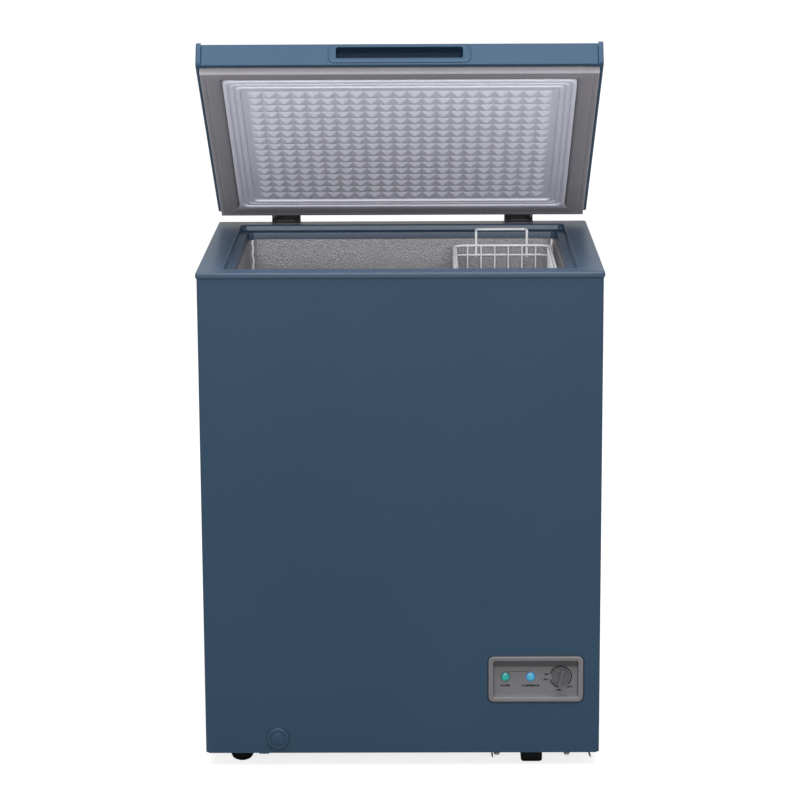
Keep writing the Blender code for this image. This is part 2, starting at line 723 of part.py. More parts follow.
def make_foam(foam_material, cabinet):
    """Foamed-in-place insulation between the tank and the outer sheets."""
    foam = add_part("foam_insulation", foam_block(), foam_material, cabinet)
    cut(foam, tank_body(LINER_WALL + EVAPORATOR_GAP, RIM_TOP))
    shelf = LINER_TOP - LINER_WALL - GAP
    inset = RIM_INSET - COLLAR_WALL - GAP
    outline = rounded_rectangle(-COLLAR_HALF_X + inset, COLLAR_HALF_X - inset, -COLLAR_HALF_Y + inset,
                                COLLAR_HALF_Y - inset, THROAT_CORNER)
    cut(foam, plan_prism(outline, shelf, RIM_TOP))
    cut(foam, tube_body(drain_path(DRAIN_BEND), DRAIN_BORE + DRAIN_WALL + GAP, 12))
    for place, radius in line_holes():
        cut(foam, turned_body(((radius, -SHEET), (radius, HUMP_TOP - BAY_TOP)), (*place, BAY_TOP),
                              (0, 0, 1), 12))
    return foam


# --- Cooling circuit -----------------------------------------------------------------------------
def evaporator_y():
    """Depth of the evaporator's run behind the tank."""
    return TANK_HALF_Y + LINER_WALL + EVAPORATOR_GAP / 2


def line_holes():
    """Holes in the bay's top for the lines and the sensor: place and radius of each."""
    return (((INLET_X, evaporator_y()), CAPILLARY_RADIUS + LINE_CLEARANCE),
            ((OUTLET_X, evaporator_y()), LINE_RADIUS + LINE_CLEARANCE),
            ((KNOB_X, sensor_y()), SENSOR_RADIUS + LINE_CLEARANCE))


def sensor_y():
    """Depth at which the thermostat's sensor rises through the bay's top."""
    return -TANK_HALF_Y + SENSOR_INSET


def coil_turn(number, level):
    """Points of one turn of the coil round the tank, starting at the inlet and rising as it goes."""
    half_x = TANK_HALF_X + LINER_WALL + EVAPORATOR_GAP / 2
    half_y = evaporator_y()
    radius = TANK_CORNER + LINER_WALL + EVAPORATOR_GAP / 2
    outline = rounded_rectangle(-half_x, half_x, -half_y, half_y, radius, ROUND_STEPS)
    loop = [(INLET_X, half_y)] + outline[-(ROUND_STEPS + 1):] + outline[:-(ROUND_STEPS + 1)]
    return [Vector((x, y, level + 2 * EVAPORATOR_PITCH * (number + index / len(loop))))
            for index, (x, y) in enumerate(loop)]


def make_evaporator(aluminium, cabinet):
    """Evaporator tube wound up round the tank and back down between its own turns."""
    upward = []
    downward = []
    for number in range(EVAPORATOR_TURNS):
        upward += coil_turn(number, EVAPORATOR_START)
        downward += coil_turn(number, EVAPORATOR_START + EVAPORATOR_PITCH)
    reach = EVAPORATOR_PITCH / 2
    centre_x = INLET_X + reach
    centre_z = upward[-1].z + reach
    bend = [Vector((x, evaporator_y(), z)) for x, z in arc_points(centre_x, centre_z, reach, 270, 90, 6)]
    step = LINE_RADIUS * 3
    start = upward[0]
    inlet = [Vector((start.x, start.y, line_join())), start + Vector((0, 0, -step)), start + Vector((-step, 0, 0))]
    end = downward[0]
    outlet = [end, Vector((OUTLET_X - step, end.y, end.z)), Vector((OUTLET_X, end.y, end.z - step)),
              Vector((OUTLET_X, end.y, line_join()))]
    path = inlet + upward[1:] + bend + downward[:0:-1] + outlet
    return add_part("evaporator_tube", tube_body(path, EVAPORATOR_RADIUS, 5), aluminium, cabinet)


def line_join():
    """Height at which the lines meet the evaporator's ends."""
    return HUMP_TOP + 0.010


def condenser_legs():
    """Depths of the condenser's two legs that come down into the machine bay."""
    return (HALF_DEPTH - FIRST_LEG_FROM_BACK, HALF_DEPTH - LAST_LEG_FROM_BACK)


def condenser_side():
    """Distance of the condenser from the middle of the cabinet, between the wrap and the foam."""
    return HALF_WIDTH - SHEET - CONDENSER_GAP / 2


def leg_end():
    """Height at which the condenser's legs end in the machine bay."""
    return BAY_TOP - LEG_DROP


def make_condenser(steel, cabinet):
    """Condenser tube clipped behind the wrap in level passes round the front and both sides."""
    side = condenser_side()
    front = -HALF_DEPTH + SHEET + CONDENSER_GAP / 2
    first_leg, last_leg = condenser_legs()
    corners = [(side, first_leg, leg_end()), (side, first_leg, CONDENSER_START)]
    for number in range(CONDENSER_PASSES):
        level = CONDENSER_START + number * CONDENSER_PITCH
        passing = [(side, front, level), (-side, front, level), (-side, first_leg, level)]
        if number % 2:
            passing = [(-side, front, level), (side, front, level), (side, first_leg, level)]
            corners.append((-side, first_leg, level))
        elif number:
            corners.append((side, first_leg, level))
        corners += passing
    corners[-1] = (side, last_leg, corners[-1][2])
    corners += [(side, last_leg, leg_end())]
    path = bent_path(corners, CONDENSER_BEND, 3)
    return add_part("condenser_tube", tube_body(path, CONDENSER_RADIUS, 6), steel, cabinet)


def drier_place():
    """Centre of the filter drier, standing in the rear corner of the bay."""
    return Vector((HALF_WIDTH - DRIER_FROM_SIDE, condenser_legs()[1], BODY_BASE + DRIER_RISE))


def make_filter_drier(copper, cabinet):
    """Spun copper drier with a neck at each end."""
    half = DRIER_LENGTH / 2
    neck = CONDENSER_RADIUS
    profile = ((neck, -half), (neck, -half + 0.006), (DRIER_RADIUS, -half + 0.016),
               (DRIER_RADIUS, half - 0.016), (neck, half - 0.006), (neck, half))
    return add_part("filter_drier", turned_body(profile, drier_place(), (0, 0, 1), 16), copper, cabinet)


def make_drier_line(copper, cabinet):
    """Short bend from the condenser's last leg into the drier's top."""
    place = drier_place()
    top = place.z + DRIER_LENGTH / 2
    leg = condenser_legs()[1]
    corners = [(condenser_side(), leg, leg_end() - GAP), (condenser_side(), leg, top + 0.010),
               (place.x, leg, top + 0.022), (place.x, leg, top + GAP)]
    path = bent_path(corners, 0.008, 3)
    return add_part("drier_line", tube_body(path, CONDENSER_RADIUS, 6), copper, cabinet)


def make_capillary(copper, cabinet):
    """Capillary tube: a few spare turns below the drier, then up to the evaporator's inlet."""
    place = drier_place()
    low = place.z - DRIER_LENGTH / 2 - GAP
    points = [Vector((place.x, place.y, low)), Vector((place.x, place.y, low - 0.008))]
    centre = Vector((place.x - CAPILLARY_COIL, place.y, 0))
    steps = 8
    turns = 2
    for step in range(1, turns * steps + 1):
        angle = 2 * math.pi * step / steps
        drop = 0.010 + CAPILLARY_RADIUS * 3 * step / steps
        points.append(Vector((centre.x + CAPILLARY_COIL * math.cos(angle),
                              centre.y - 0.0005 * step + (CAPILLARY_COIL * 0.6) * math.sin(angle),
                              low - drop)))
    rise_x = INLET_X
    y = evaporator_y()
    last = points[-1]
    corners = [last, (last.x, last.y - 0.010, last.z), (rise_x, y, last.z), (rise_x, y, line_join() - GAP)]
    points += bent_path(corners, 0.010, 3)[1:]
    return add_part("capillary_tube", tube_body(points, CAPILLARY_RADIUS, 5), copper, cabinet)


def make_suction_line(copper, cabinet):
    """Suction line from the evaporator's outlet back to the compressor."""
    y = evaporator_y()
    level = shell_base() + COMPRESSOR_HEIGHT * 0.62
    side = COMPRESSOR_Y + COMPRESSOR_RY + GAP
    corners = [(OUTLET_X, y, line_join() - GAP), (OUTLET_X, y, level), (OUTLET_X, side, level)]
    path = bent_path(corners, 0.014, 4)
    return add_part("suction_line", tube_body(path, LINE_RADIUS, 8), copper, cabinet)


def make_discharge_line(copper, cabinet):
    """Discharge line from the compressor's side to the condenser's first leg."""
    level = shell_base() + COMPRESSOR_HEIGHT * 0.70
    start = Vector((COMPRESSOR_X + COMPRESSOR_RX + GAP, COMPRESSOR_Y, level))
    leg = condenser_legs()[0]
    corners = [start, (condenser_side(), COMPRESSOR_Y, level), (condenser_side(), leg, level),
               (condenser_side(), leg, leg_end() - GAP)]
    path = bent_path(corners, 0.012, 4)
    return add_part("discharge_line", tube_body(path, CONDENSER_RADIUS, 6), copper, cabinet)


# --- Compressor ----------------------------------------------------------------------------------
def plate_top():
    """Top of the compressor's base plate."""
    return BODY_BASE + SHEET + GAP + PLATE_WALL


def bracket_low():
    """Underside of the compressor's mounting bracket, resting on its grommets."""
    return plate_top() + GAP + GROMMET_HEIGHT * 0.6


def shell_base():
    """Lowest point of the compressor's shell."""
    return bracket_low() + BRACKET_WALL + GAP


def make_base_plate(steel, cabinet):
    """Base plate of the machine bay with a turned-down flange along each side."""
    low = plate_top() - PLATE_WALL
    front = -HALF_DEPTH + PLATE_END
    back = HALF_DEPTH - PLATE_END
    outline = ((PLATE_LEFT, low - PLATE_FLANGE), (PLATE_LEFT + PLATE_WALL, low - PLATE_FLANGE),
               (PLATE_LEFT + PLATE_WALL, low), (PLATE_RIGHT - PLATE_WALL, low),
               (PLATE_RIGHT - PLATE_WALL, low - PLATE_FLANGE), (PLATE_RIGHT, low - PLATE_FLANGE),
               (PLATE_RIGHT, low + PLATE_WALL), (PLATE_LEFT, low + PLATE_WALL))
    plate = add_part("compressor_base_plate", front_prism(outline, front, back), steel, cabinet)
    weld(plate, box_body((BAY_LEFT + GAP, front, low), (HALF_WIDTH - SHEET - GAP, back, low + PLATE_WALL)))
    for x, y in mount_places():
        hole = MOUNT_BOLT_RADIUS + GAP
        cut(plate, turned_body(((hole, -2 * PLATE_WALL), (hole, 2 * PLATE_WALL)), (x, y, low), (0, 0, 1), 12))
    return plate


def mount_places():
    """Plan places of the compressor's four mounts."""
    return [(COMPRESSOR_X + across * MOUNT_X, COMPRESSOR_Y + along * MOUNT_Y)
            for across in (-1, 1) for along in (-1, 1)]


def make_compressor_shells(black, cabinet):
    """Hermetic compressor: a deep lower bowl and an upper dome that meet at a welded seam."""
    base = shell_base()
    seam = base + SEAM_HEIGHT
    top = base + COMPRESSOR_HEIGHT
    rx = COMPRESSOR_RX
    squash = COMPRESSOR_RY / COMPRESSOR_RX
    lower = ((rx * 0.45, base), (rx * 0.78, base + 0.006), (rx - SEAM_LIP, base + 0.024),
             (rx - SEAM_LIP, seam - 0.004), (rx, seam - 0.003), (rx, seam))
    upper = ((rx, seam + GAP), (rx, seam + 0.003), (rx - SEAM_LIP, seam + 0.005), (rx - SEAM_LIP, top - 0.034),
             (rx * 0.86, top - 0.014), (rx * 0.58, top - 0.003), (rx * 0.26, top))
    for name, profile in (("compressor_lower_shell", lower), ("compressor_upper_shell", upper)):
        shell = turned_body(profile, (COMPRESSOR_X, COMPRESSOR_Y, 0), (0, 0, 1), 28, squash)
        add_part(name, shell, black, cabinet)


def make_compressor_mounts(black, rubber, steel, cabinet):
    """Bracket under the compressor with its four grommets and bolts."""
    low = bracket_low()
    reach = GROMMET_RADIUS * 1.1
    outline = rounded_rectangle(COMPRESSOR_X - MOUNT_X - reach, COMPRESSOR_X + MOUNT_X + reach,
                                COMPRESSOR_Y - MOUNT_Y - reach, COMPRESSOR_Y + MOUNT_Y + reach, reach)
    bracket = add_part("compressor_bracket", plan_prism(outline, low, low + BRACKET_WALL), black, cabinet)
    waist = GROMMET_RADIUS * 0.6
    for number, (x, y) in enumerate(mount_places(), 1):
        hole = waist + GAP
        cut(bracket, turned_body(((hole, -BRACKET_WALL), (hole, 2 * BRACKET_WALL)), (x, y, low), (0, 0, 1), 12))
        bottom = plate_top() + GAP
        collar = low + BRACKET_WALL + GAP
        profile = ((GROMMET_RADIUS, bottom), (GROMMET_RADIUS, low - GAP), (waist, low - GAP), (waist, collar),
                   (waist * 1.3, collar), (waist * 1.2, bottom + GROMMET_HEIGHT))
        grommet = add_part(f"compressor_grommet_{number}", turned_body(profile, (x, y, 0), (0, 0, 1), 14),
                           rubber, cabinet)
        bore = MOUNT_BOLT_RADIUS + GAP
        cut(grommet, turned_body(((bore, 0), (bore, BAY_TOP)), (x, y, 0), (0, 0, 1), 12))
        head = bottom + GROMMET_HEIGHT + GAP
        bolt = ((MOUNT_BOLT_RADIUS, plate_top() - 0.005), (MOUNT_BOLT_RADIUS, head),
                (MOUNT_BOLT_RADIUS * 1.8, head), (MOUNT_BOLT_RADIUS * 1.8, head + 0.003))
        add_part(f"compressor_bolt_{number}", turned_body(bolt, (x, y, 0), (0, 0, 1), 12), steel, cabinet)


def make_relay_box(black, cabinet):
    """Starting relay and overload under their cover, on the front of the compressor."""
    back = COMPRESSOR_Y - COMPRESSOR_RY - GAP
    low = shell_base() + RELAY_RISE
    rings = []
    for y, inset in ((back, 0.0), (back - RELAY_DEPTH + RELAY_EDGE, 0.0), (back - RELAY_DEPTH, RELAY_EDGE)):
        rings.append(front_ring(COMPRESSOR_X, low + RELAY_HEIGHT / 2, RELAY_WIDTH - 2 * inset,
                                RELAY_HEIGHT - 2 * inset, 0.005, y))
    return add_part("relay_box", ring_body(rings), black, cabinet)


# --- Machine bay covers --------------------------------------------------------------------------
def make_rear_cover(steel, cabinet):
    """Louvred sheet screwed over the machine bay's rear opening."""
    left = BAY_LEFT - COVER_OVERLAP
    right = HALF_WIDTH - SHEET - GAP
    low = BODY_BASE + SHEET + GAP
    high = BAY_TOP + COVER_OVERLAP
    front = HALF_DEPTH + GAP
    cover = add_part("bay_rear_cover", box_body((left, front, low), (right, front + SHEET, high)), steel,
                     cabinet)
    slots = []
    for number in range(COVER_SLOTS):
        z = low + COVER_SLOT_START + number * COVER_SLOT_PITCH
        slots.append(((left + COVER_SLOT_MARGIN, front - SHEET, z),
                      (right - COVER_SLOT_MARGIN, front + 2 * SHEET, z + COVER_SLOT_HEIGHT)))
    cut(cover, boxes_body(slots))
    hole = GLAND_RADIUS - 0.002 + GAP
    cut(cover, turned_body(((hole, -SHEET), (hole, 2 * SHEET)), (GLAND_X, front, GLAND_Z), (0, 1, 0), 16))
    return cover


def make_cord_gland(rubber, cabinet):
    """Rubber gland snapped into the rear cover, where the mains lead would leave."""
    front = HALF_DEPTH + GAP
    neck = GLAND_RADIUS - 0.002
    profile = ((GLAND_RADIUS, -0.004), (GLAND_RADIUS, -GAP), (neck, -GAP), (neck, SHEET + GAP),
               (GLAND_RADIUS, SHEET + GAP), (GLAND_RADIUS * 0.8, SHEET + 0.005))
    gland = add_part("cord_gland", turned_body(profile, (GLAND_X, front, GLAND_Z), (0, 1, 0), 16), rubber,
                     cabinet)
    cut(gland, turned_body(((GLAND_BORE, -0.02), (GLAND_BORE, 0.02)), (GLAND_X, front, GLAND_Z), (0, 1, 0), 12))
    return gland


def make_side_vent(paint, cabinet):
    """Slotted plastic grille snapped into the right side, level with the compressor."""
    half_y = VENT_LENGTH / 2
    half_z = VENT_HEIGHT / 2
    face = HALF_WIDTH + GAP
    outline = rounded_rectangle(VENT_Y - half_y, VENT_Y + half_y, VENT_Z - half_z, VENT_Z + half_z, 0.004)
    grille = add_part("side_vent_grille", side_prism(outline, face, face + VENT_PROUD), paint, cabinet)
    body_y = half_y - VENT_FRAME
    body_z = half_z - VENT_FRAME
    weld(grille, box_body((face - 2 * SHEET - GAP, VENT_Y - body_y, VENT_Z - body_z),
                          (face + VENT_PROUD / 2, VENT_Y + body_y, VENT_Z + body_z)))
    pitch = 2 * body_z / VENT_SLOTS
    slots = []
    for number in range(VENT_SLOTS):
        z = VENT_Z - body_z + (number + 0.5) * pitch
        slots.append(((face - 0.01, VENT_Y - body_y + 0.005, z - VENT_SLOT_HEIGHT / 2),
                      (face + 0.01, VENT_Y + body_y - 0.005, z + VENT_SLOT_HEIGHT / 2)))
    cut(grille, boxes_body(slots))
    return grille


# --- Controls ------------------------------------------------------------------------------------
def recess_floor():
    """Depth of the recess floor's front face."""
    return -HALF_DEPTH - PANEL_PROUD + RECESS_DEPTH


def make_control_bezel(grey, cabinet):
    """Moulded panel: raised rounded bezel round a recessed tray for the lamps and the knob."""
    face = -HALF_DEPTH - PANEL_PROUD
    edge = 0.0012
    floor = recess_floor()
    tray_w = RECESS_WIDTH + 2 * PANEL_WALL
    tray_h = RECESS_HEIGHT + 2 * PANEL_WALL
    shapes = ((RECESS_WIDTH, RECESS_HEIGHT, RECESS_CORNER, floor),
              (RECESS_WIDTH, RECESS_HEIGHT, RECESS_CORNER, face + edge / 2),
              (RECESS_WIDTH + edge, RECESS_HEIGHT + edge, RECESS_CORNER, face),
              (PANEL_WIDTH - 2 * edge, PANEL_HEIGHT - 2 * edge, PANEL_CORNER - edge, face),
              (PANEL_WIDTH, PANEL_HEIGHT, PANEL_CORNER, face + edge),
              (PANEL_WIDTH, PANEL_HEIGHT, PANEL_CORNER, -HALF_DEPTH - GAP),
              (tray_w, tray_h, RECESS_CORNER, -HALF_DEPTH - GAP),
              (tray_w, tray_h, RECESS_CORNER, floor + PANEL_WALL))
    rings = [front_ring(PANEL_X, PANEL_Z, width, height, radius, y) for width, height, radius, y in shapes]
    bezel = add_part("control_bezel", ring_body(rings), grey, cabinet)
    row = PANEL_Z + CONTROL_ROW
    holes = ((POWER_LAMP_X, LAMP_RADIUS + GAP), (RUN_LAMP_X, LAMP_RADIUS + GAP),
             (KNOB_X, SHAFT_RADIUS + RUNNING_CLEARANCE))
    for x, radius in holes:
        cut(bezel, turned_body(((radius, -PANEL_WALL), (radius, 2 * PANEL_WALL)), (x, floor, row), (0, 1, 0), 16))
    return bezel


def make_lamp(name, x, lens, cabinet):
    """Domed indicator lens pushed through the tray from behind."""
    floor = recess_floor()
    back = floor + PANEL_WALL + GAP
    radius = LAMP_RADIUS
    profile = ((radius * 1.3, back + 0.006), (radius * 1.3, back), (radius, back), (radius, floor - 0.0006),
               (radius * 0.86, floor - 0.0018), (radius * 0.5, floor - 0.0026))
    return add_part(name, turned_body(profile, (x, 0, PANEL_Z + CONTROL_ROW), (0, 1, 0), 16), lens, cabinet)


def make_thermostat(black, copper, cabinet):
    """Thermostat behind the tray, bored for the knob's shaft, with its sensor tube."""
    back = recess_floor() + PANEL_WALL + GAP
    row = PANEL_Z + CONTROL_ROW
    body = add_part("thermostat_body", box_body(
        (KNOB_X - THERMOSTAT_WIDTH / 2, back, row - THERMOSTAT_HEIGHT / 2),
        (KNOB_X + THERMOSTAT_WIDTH / 2, back + THERMOSTAT_DEPTH, row + THERMOSTAT_HEIGHT / 2)), black, cabinet)
    bore = SHAFT_RADIUS + RUNNING_CLEARANCE
    depth = SHAFT_LENGTH - PANEL_WALL + RUNNING_CLEARANCE
    cut(body, turned_body(((bore, -PANEL_WALL), (bore, depth)), (KNOB_X, back, row), (0, 1, 0), 16))
    level = row + THERMOSTAT_HEIGHT / 2 + GAP
    gap_middle = HUMP_TOP - LINER_WALL - EVAPORATOR_GAP / 2
    y = back + THERMOSTAT_DEPTH / 2
    corners = [(KNOB_X, y, level), (KNOB_X, y, level + 0.020), (KNOB_X, sensor_y(), level + 0.030),
               (KNOB_X, sensor_y(), gap_middle), (KNOB_X, sensor_y() + SENSOR_LENGTH, gap_middle)]
    path = bent_path(corners, 0.008, 3)
    add_part("thermostat_sensor", tube_body(path, SENSOR_RADIUS, 6), copper, cabinet)


def make_knob(grey, cabinet):
    """Thermostat knob: round skirt, tilted grip bar and shaft, turning about its own axis."""
    floor = recess_floor()
    row = PANEL_Z + CONTROL_ROW
    pivot = add_pivot("knob_pivot", (KNOB_X, floor, row), cabinet)
    seat = floor - RUNNING_CLEARANCE
    face = seat - KNOB_SKIRT
    profile = ((SHAFT_RADIUS, floor + SHAFT_LENGTH), (SHAFT_RADIUS, seat), (KNOB_RADIUS, seat),
               (KNOB_RADIUS * 0.97, face + 0.0008), (KNOB_RADIUS * 0.90, face))
    knob = add_part("thermostat_knob", turned_body(profile, (KNOB_X, 0, row), (0, 1, 0), 32), grey, pivot)
    bar = []
    for x, z in rounded_rectangle(-KNOB_BAR / 2, KNOB_BAR / 2, -KNOB_RADIUS * 0.95, KNOB_RADIUS * 0.95, 0.003):
        bar.append((KNOB_X + x * math.cos(KNOB_TILT) + z * math.sin(KNOB_TILT),
                    row - x * math.sin(KNOB_TILT) + z * math.cos(KNOB_TILT)))
    weld(knob, front_prism(bar, face - KNOB_GRIP, face + KNOB_SKIRT / 2))
    return knob


# --- Drain ---------------------------------------------------------------------------------------
def drain_path(bend):
    """Drain route: down from the tank floor, round a bend and out at the front."""
    top = TANK_FLOOR - LINER_WALL - GAP
    return bent_path([(DRAIN_X, DRAIN_Y, top), (DRAIN_X, DRAIN_Y, DRAIN_Z),
                      (DRAIN_X, -HALF_DEPTH, DRAIN_Z)], bend, 5)


def make_drain(white, paint, cabinet):
    """Drain tube in the foam, its screwed front cap and the plug in the tank floor."""
    outer = DRAIN_BORE + DRAIN_WALL
    add_part("drain_tube", tube_body(drain_path(DRAIN_BEND), outer, 12, DRAIN_BORE), white, cabinet)
    front = -HALF_DEPTH - GAP
    neck = DRAIN_BORE * 0.9
    groove = 0.0012
    cap = ((neck, front + DRAIN_NECK), (neck, front), (DRAIN_CAP_RADIUS, front),
           (DRAIN_CAP_RADIUS, front - DRAIN_CAP_THICKNESS * 0.5),
           (DRAIN_CAP_RADIUS - 0.0015, front - DRAIN_CAP_THICKNESS * 0.8),
           (DRAIN_CAP_RING + groove, front - DRAIN_CAP_THICKNESS * 0.8),
           (DRAIN_CAP_RING, front - DRAIN_CAP_THICKNESS * 0.5),
           (DRAIN_CAP_RING - groove, front - DRAIN_CAP_THICKNESS), (0.002, front - DRAIN_CAP_THICKNESS))
    cap_pivot = add_pivot("drain_cap_pivot", (DRAIN_X, front, DRAIN_Z), cabinet)
    add_part("drain_cap", turned_body(cap, (DRAIN_X, 0, DRAIN_Z), (0, 1, 0), 24), paint, cap_pivot)
    floor = TANK_FLOOR + GAP
    plug = ((neck, floor - DRAIN_NECK), (neck, floor), (PLUG_RADIUS, floor),
            (PLUG_RADIUS, floor + PLUG_THICKNESS * 0.6), (PLUG_RADIUS * 0.85, floor + PLUG_THICKNESS),
            (0.004, floor + PLUG_THICKNESS), (0.004, floor + PLUG_THICKNESS * 2), (0.001, floor + PLUG_THICKNESS * 2))
    plug_pivot = add_pivot("drain_plug_pivot", (DRAIN_X, DRAIN_Y, floor), cabinet)
    add_part("drain_plug", turned_body(plug, (DRAIN_X, DRAIN_Y, 0), (0, 0, 1), 20), white, plug_pivot)


# --- Feet ----------------------------------------------------------------------------------------
def make_feet(rubber, cabinet):
    """Domed glides under the left side and moulded blocks under the machine bay's plate."""
    for label, side in (("front", -1), ("rear", 1)):
        y = side * (HALF_DEPTH - FOOT_INSET_Y)
        top = BODY_BASE + SHEET
        profile = ((FOOT_RADIUS * 0.42, 0.0), (FOOT_RADIUS * 0.72, 0.0022), (FOOT_RADIUS * 0.93, 0.0065),
                   (FOOT_RADIUS, 0.0125), (FOOT_RADIUS, top))
        add_part(f"foot_left_{label}", turned_body(profile, (LEFT_FOOT_X, y, 0), (0, 0, 1), 20), rubber, cabinet)
        top = plate_top() - PLATE_WALL - GAP
        half_x = BLOCK_FOOT_WIDTH / 2
        half_y = BLOCK_FOOT_LENGTH / 2
        rings = []
        for z, inset in ((0.0, 0.0015), (0.0015, 0.0), (top, 0.0)):
            outline = rounded_rectangle(RIGHT_FOOT_X - half_x + inset, RIGHT_FOOT_X + half_x - inset,
                                        y - half_y + inset, y + half_y - inset, 0.003)
            rings.append([Vector((u, v, z)) for u, v in outline])
        add_part(f"foot_right_{label}", ring_body(rings), rubber, cabinet)


# --- Hinges --------------------------------------------------------------------------------------
def hinge_height():
    """Height of the hinge line."""
    return RIM_TOP + HINGE_RISE


def make_hinge_bracket(side_name, centre, black, cabinet):
    """Cabinet half of a hinge: channel behind the cabinet with two cheeks and a foot on the rim."""
    back = HALF_DEPTH + GAP
    seat = RIM_TOP + GAP
    nose = arc_points(HINGE_Y, hinge_height(), HINGE_NOSE, 40, 180, 6)
    cheek = [(back, RIM_TOP - HINGE_DROP), (back + HINGE_TOE, RIM_TOP - HINGE_DROP),
             (HINGE_REAR, RIM_TOP - HINGE_DROP + HINGE_TAPER), (HINGE_REAR, RIM_TOP - 2 * HINGE_PLATE)]
    cheek += nose + [(HINGE_Y - HINGE_NOSE, seat), (back, seat)]
    outer = HINGE_WIDTH / 2
    bracket = add_part(f"hinge_{side_name}_bracket", side_prism(cheek, centre - outer, centre - outer + HINGE_PLATE),
                       black, cabinet)
    weld(bracket, side_prism(cheek, centre + outer - HINGE_PLATE, centre + outer))
    weld(bracket, box_body((centre - outer, back, RIM_TOP - HINGE_DROP),
                           (centre + outer, back + HINGE_PLATE, seat + HINGE_PLATE)))
    weld(bracket, box_body((centre - outer, HALF_DEPTH + COLLAR_OVERHANG - HINGE_FOOT, seat),
                           (centre + outer, back + HINGE_PLATE, seat + HINGE_PLATE)))
    hole = PIN_RADIUS + GAP
    cut(bracket, turned_body(((hole, -HINGE_WIDTH), (hole, HINGE_WIDTH)), (centre, HINGE_Y, hinge_height()),
                             (1, 0, 0), 12))
    return bracket


def make_hinge_leaf(side_name, centre, black, lid):
    """Lid half of a hinge: plate on the lid's back with two ears on the pin."""
    wall = LID_BACK + GAP
    low = RIM_TOP + LID_BOTTOM + LID_SHEET
    high = RIM_TOP + LID_TOP - LEAF_MARGIN
    ear = [(wall, low), (wall, high), (wall + LEAF_PLATE, high)]
    ear += arc_points(HINGE_Y, hinge_height(), LEAF_NOSE, 60, -120, 8)
    outer = LEAF_WIDTH / 2
    leaf = add_part(f"hinge_{side_name}_leaf", side_prism(ear, centre - outer, centre - outer + LEAF_PLATE),
                    black, lid)
    weld(leaf, side_prism(ear, centre + outer - LEAF_PLATE, centre + outer))
    weld(leaf, box_body((centre - HINGE_WIDTH / 2, wall, low), (centre + HINGE_WIDTH / 2, wall + LEAF_PLATE, high)))
    hole = PIN_RADIUS + GAP
    cut(leaf, turned_body(((hole, -HINGE_WIDTH), (hole, HINGE_WIDTH)), (centre, HINGE_Y, hinge_height()),
                          (1, 0, 0), 12))
    return leaf


def make_hinge_pin(side_name, centre, steel, cabinet):
    """Headed hinge pin."""
    end = HINGE_WIDTH / 2 + PIN_OVERHANG
    head = HINGE_WIDTH / 2 + GAP
    profile = ((PIN_RADIUS, -end), (PIN_RADIUS, head), (PIN_HEAD, head), (PIN_HEAD, head + PIN_OVERHANG))
    pin = turned_body(profile, (centre, HINGE_Y, hinge_height()), (1, 0, 0), 12)
    return add_part(f"hinge_{side_name}_pin", pin, steel, cabinet)


def make_hinge_spring(side_name, centre, steel, cabinet):
    """Counterbalance spring coiled round the pin between the lid's ears."""
    radius = PIN_RADIUS + SPRING_WIRE + 3 * GAP
    half = LEAF_WIDTH / 2 - LEAF_PLATE - SPRING_WIRE - 3 * GAP
    steps = 8 * SPRING_TURNS
    points = []
    for step in range(steps + 1):
        angle = 2 * math.pi * step / 8
        points.append((centre - half + 2 * half * step / steps, HINGE_Y + radius * math.cos(angle),
                       hinge_height() + radius * math.sin(angle)))
    return add_part(f"hinge_{side_name}_spring", tube_body(points, SPRING_WIRE, 4), steel, cabinet)


def make_hinges(black, steel, cabinet, lid):
    """Both hinges, each with its bracket, leaf, pin and spring."""
    for side_name, centre in (("left", -HINGE_X), ("right", HINGE_X)):
        make_hinge_bracket(side_name, centre, black, cabinet)
        make_hinge_leaf(side_name, centre, black, lid)
        make_hinge_pin(side_name, centre, steel, cabinet)
        make_hinge_spring(side_name, centre, steel, cabinet)


# --- Lid -----------------------------------------------------------------------------------------
def lid_ring(inset, rise, radius):
    """Ring of the lid at an inset from its outer faces and a rise above the rim."""
    return plan_ring(LID_HALF_X - inset, LID_FRONT + inset, LID_BACK - inset, radius, RIM_TOP + rise, 2)


def make_lid_panel(paint, lid):
    """Folded lid skin: top, front strip, back and sides, with a short return under each edge."""
    sheet = LID_SHEET
    corner = 0.002
    rings = [lid_ring(LID_EDGE, LID_TOP, corner), lid_ring(LID_EDGE * 0.3, LID_TOP - LID_EDGE * 0.3, corner),
             lid_ring(0, LID_TOP - LID_EDGE, corner), lid_ring(0, LID_BOTTOM, corner),
             lid_ring(LID_RETURN, LID_BOTTOM, corner), lid_ring(LID_RETURN, LID_BOTTOM + sheet, corner),
             lid_ring(sheet, LID_BOTTOM + sheet, corner / 2), lid_ring(sheet, LID_TOP - LID_EDGE, corner / 2),
             lid_ring(LID_EDGE, LID_TOP - sheet, corner / 2)]
    panel = add_part("lid_outer_panel", ring_body(rings), paint, lid)
    width = 2 * (POCKET_HALF_X + POCKET_WALL + GAP)
    height = POCKET_HIGH - POCKET_LOW + 2 * (POCKET_WALL + GAP)
    middle = RIM_TOP + (POCKET_LOW + POCKET_HIGH) / 2
    rings = [front_ring(0, middle, width, height, POCKET_CORNER, y)
             for y in (LID_FRONT - sheet, LID_FRONT + 2 * sheet)]
    cut(panel, ring_body(rings))
    return panel


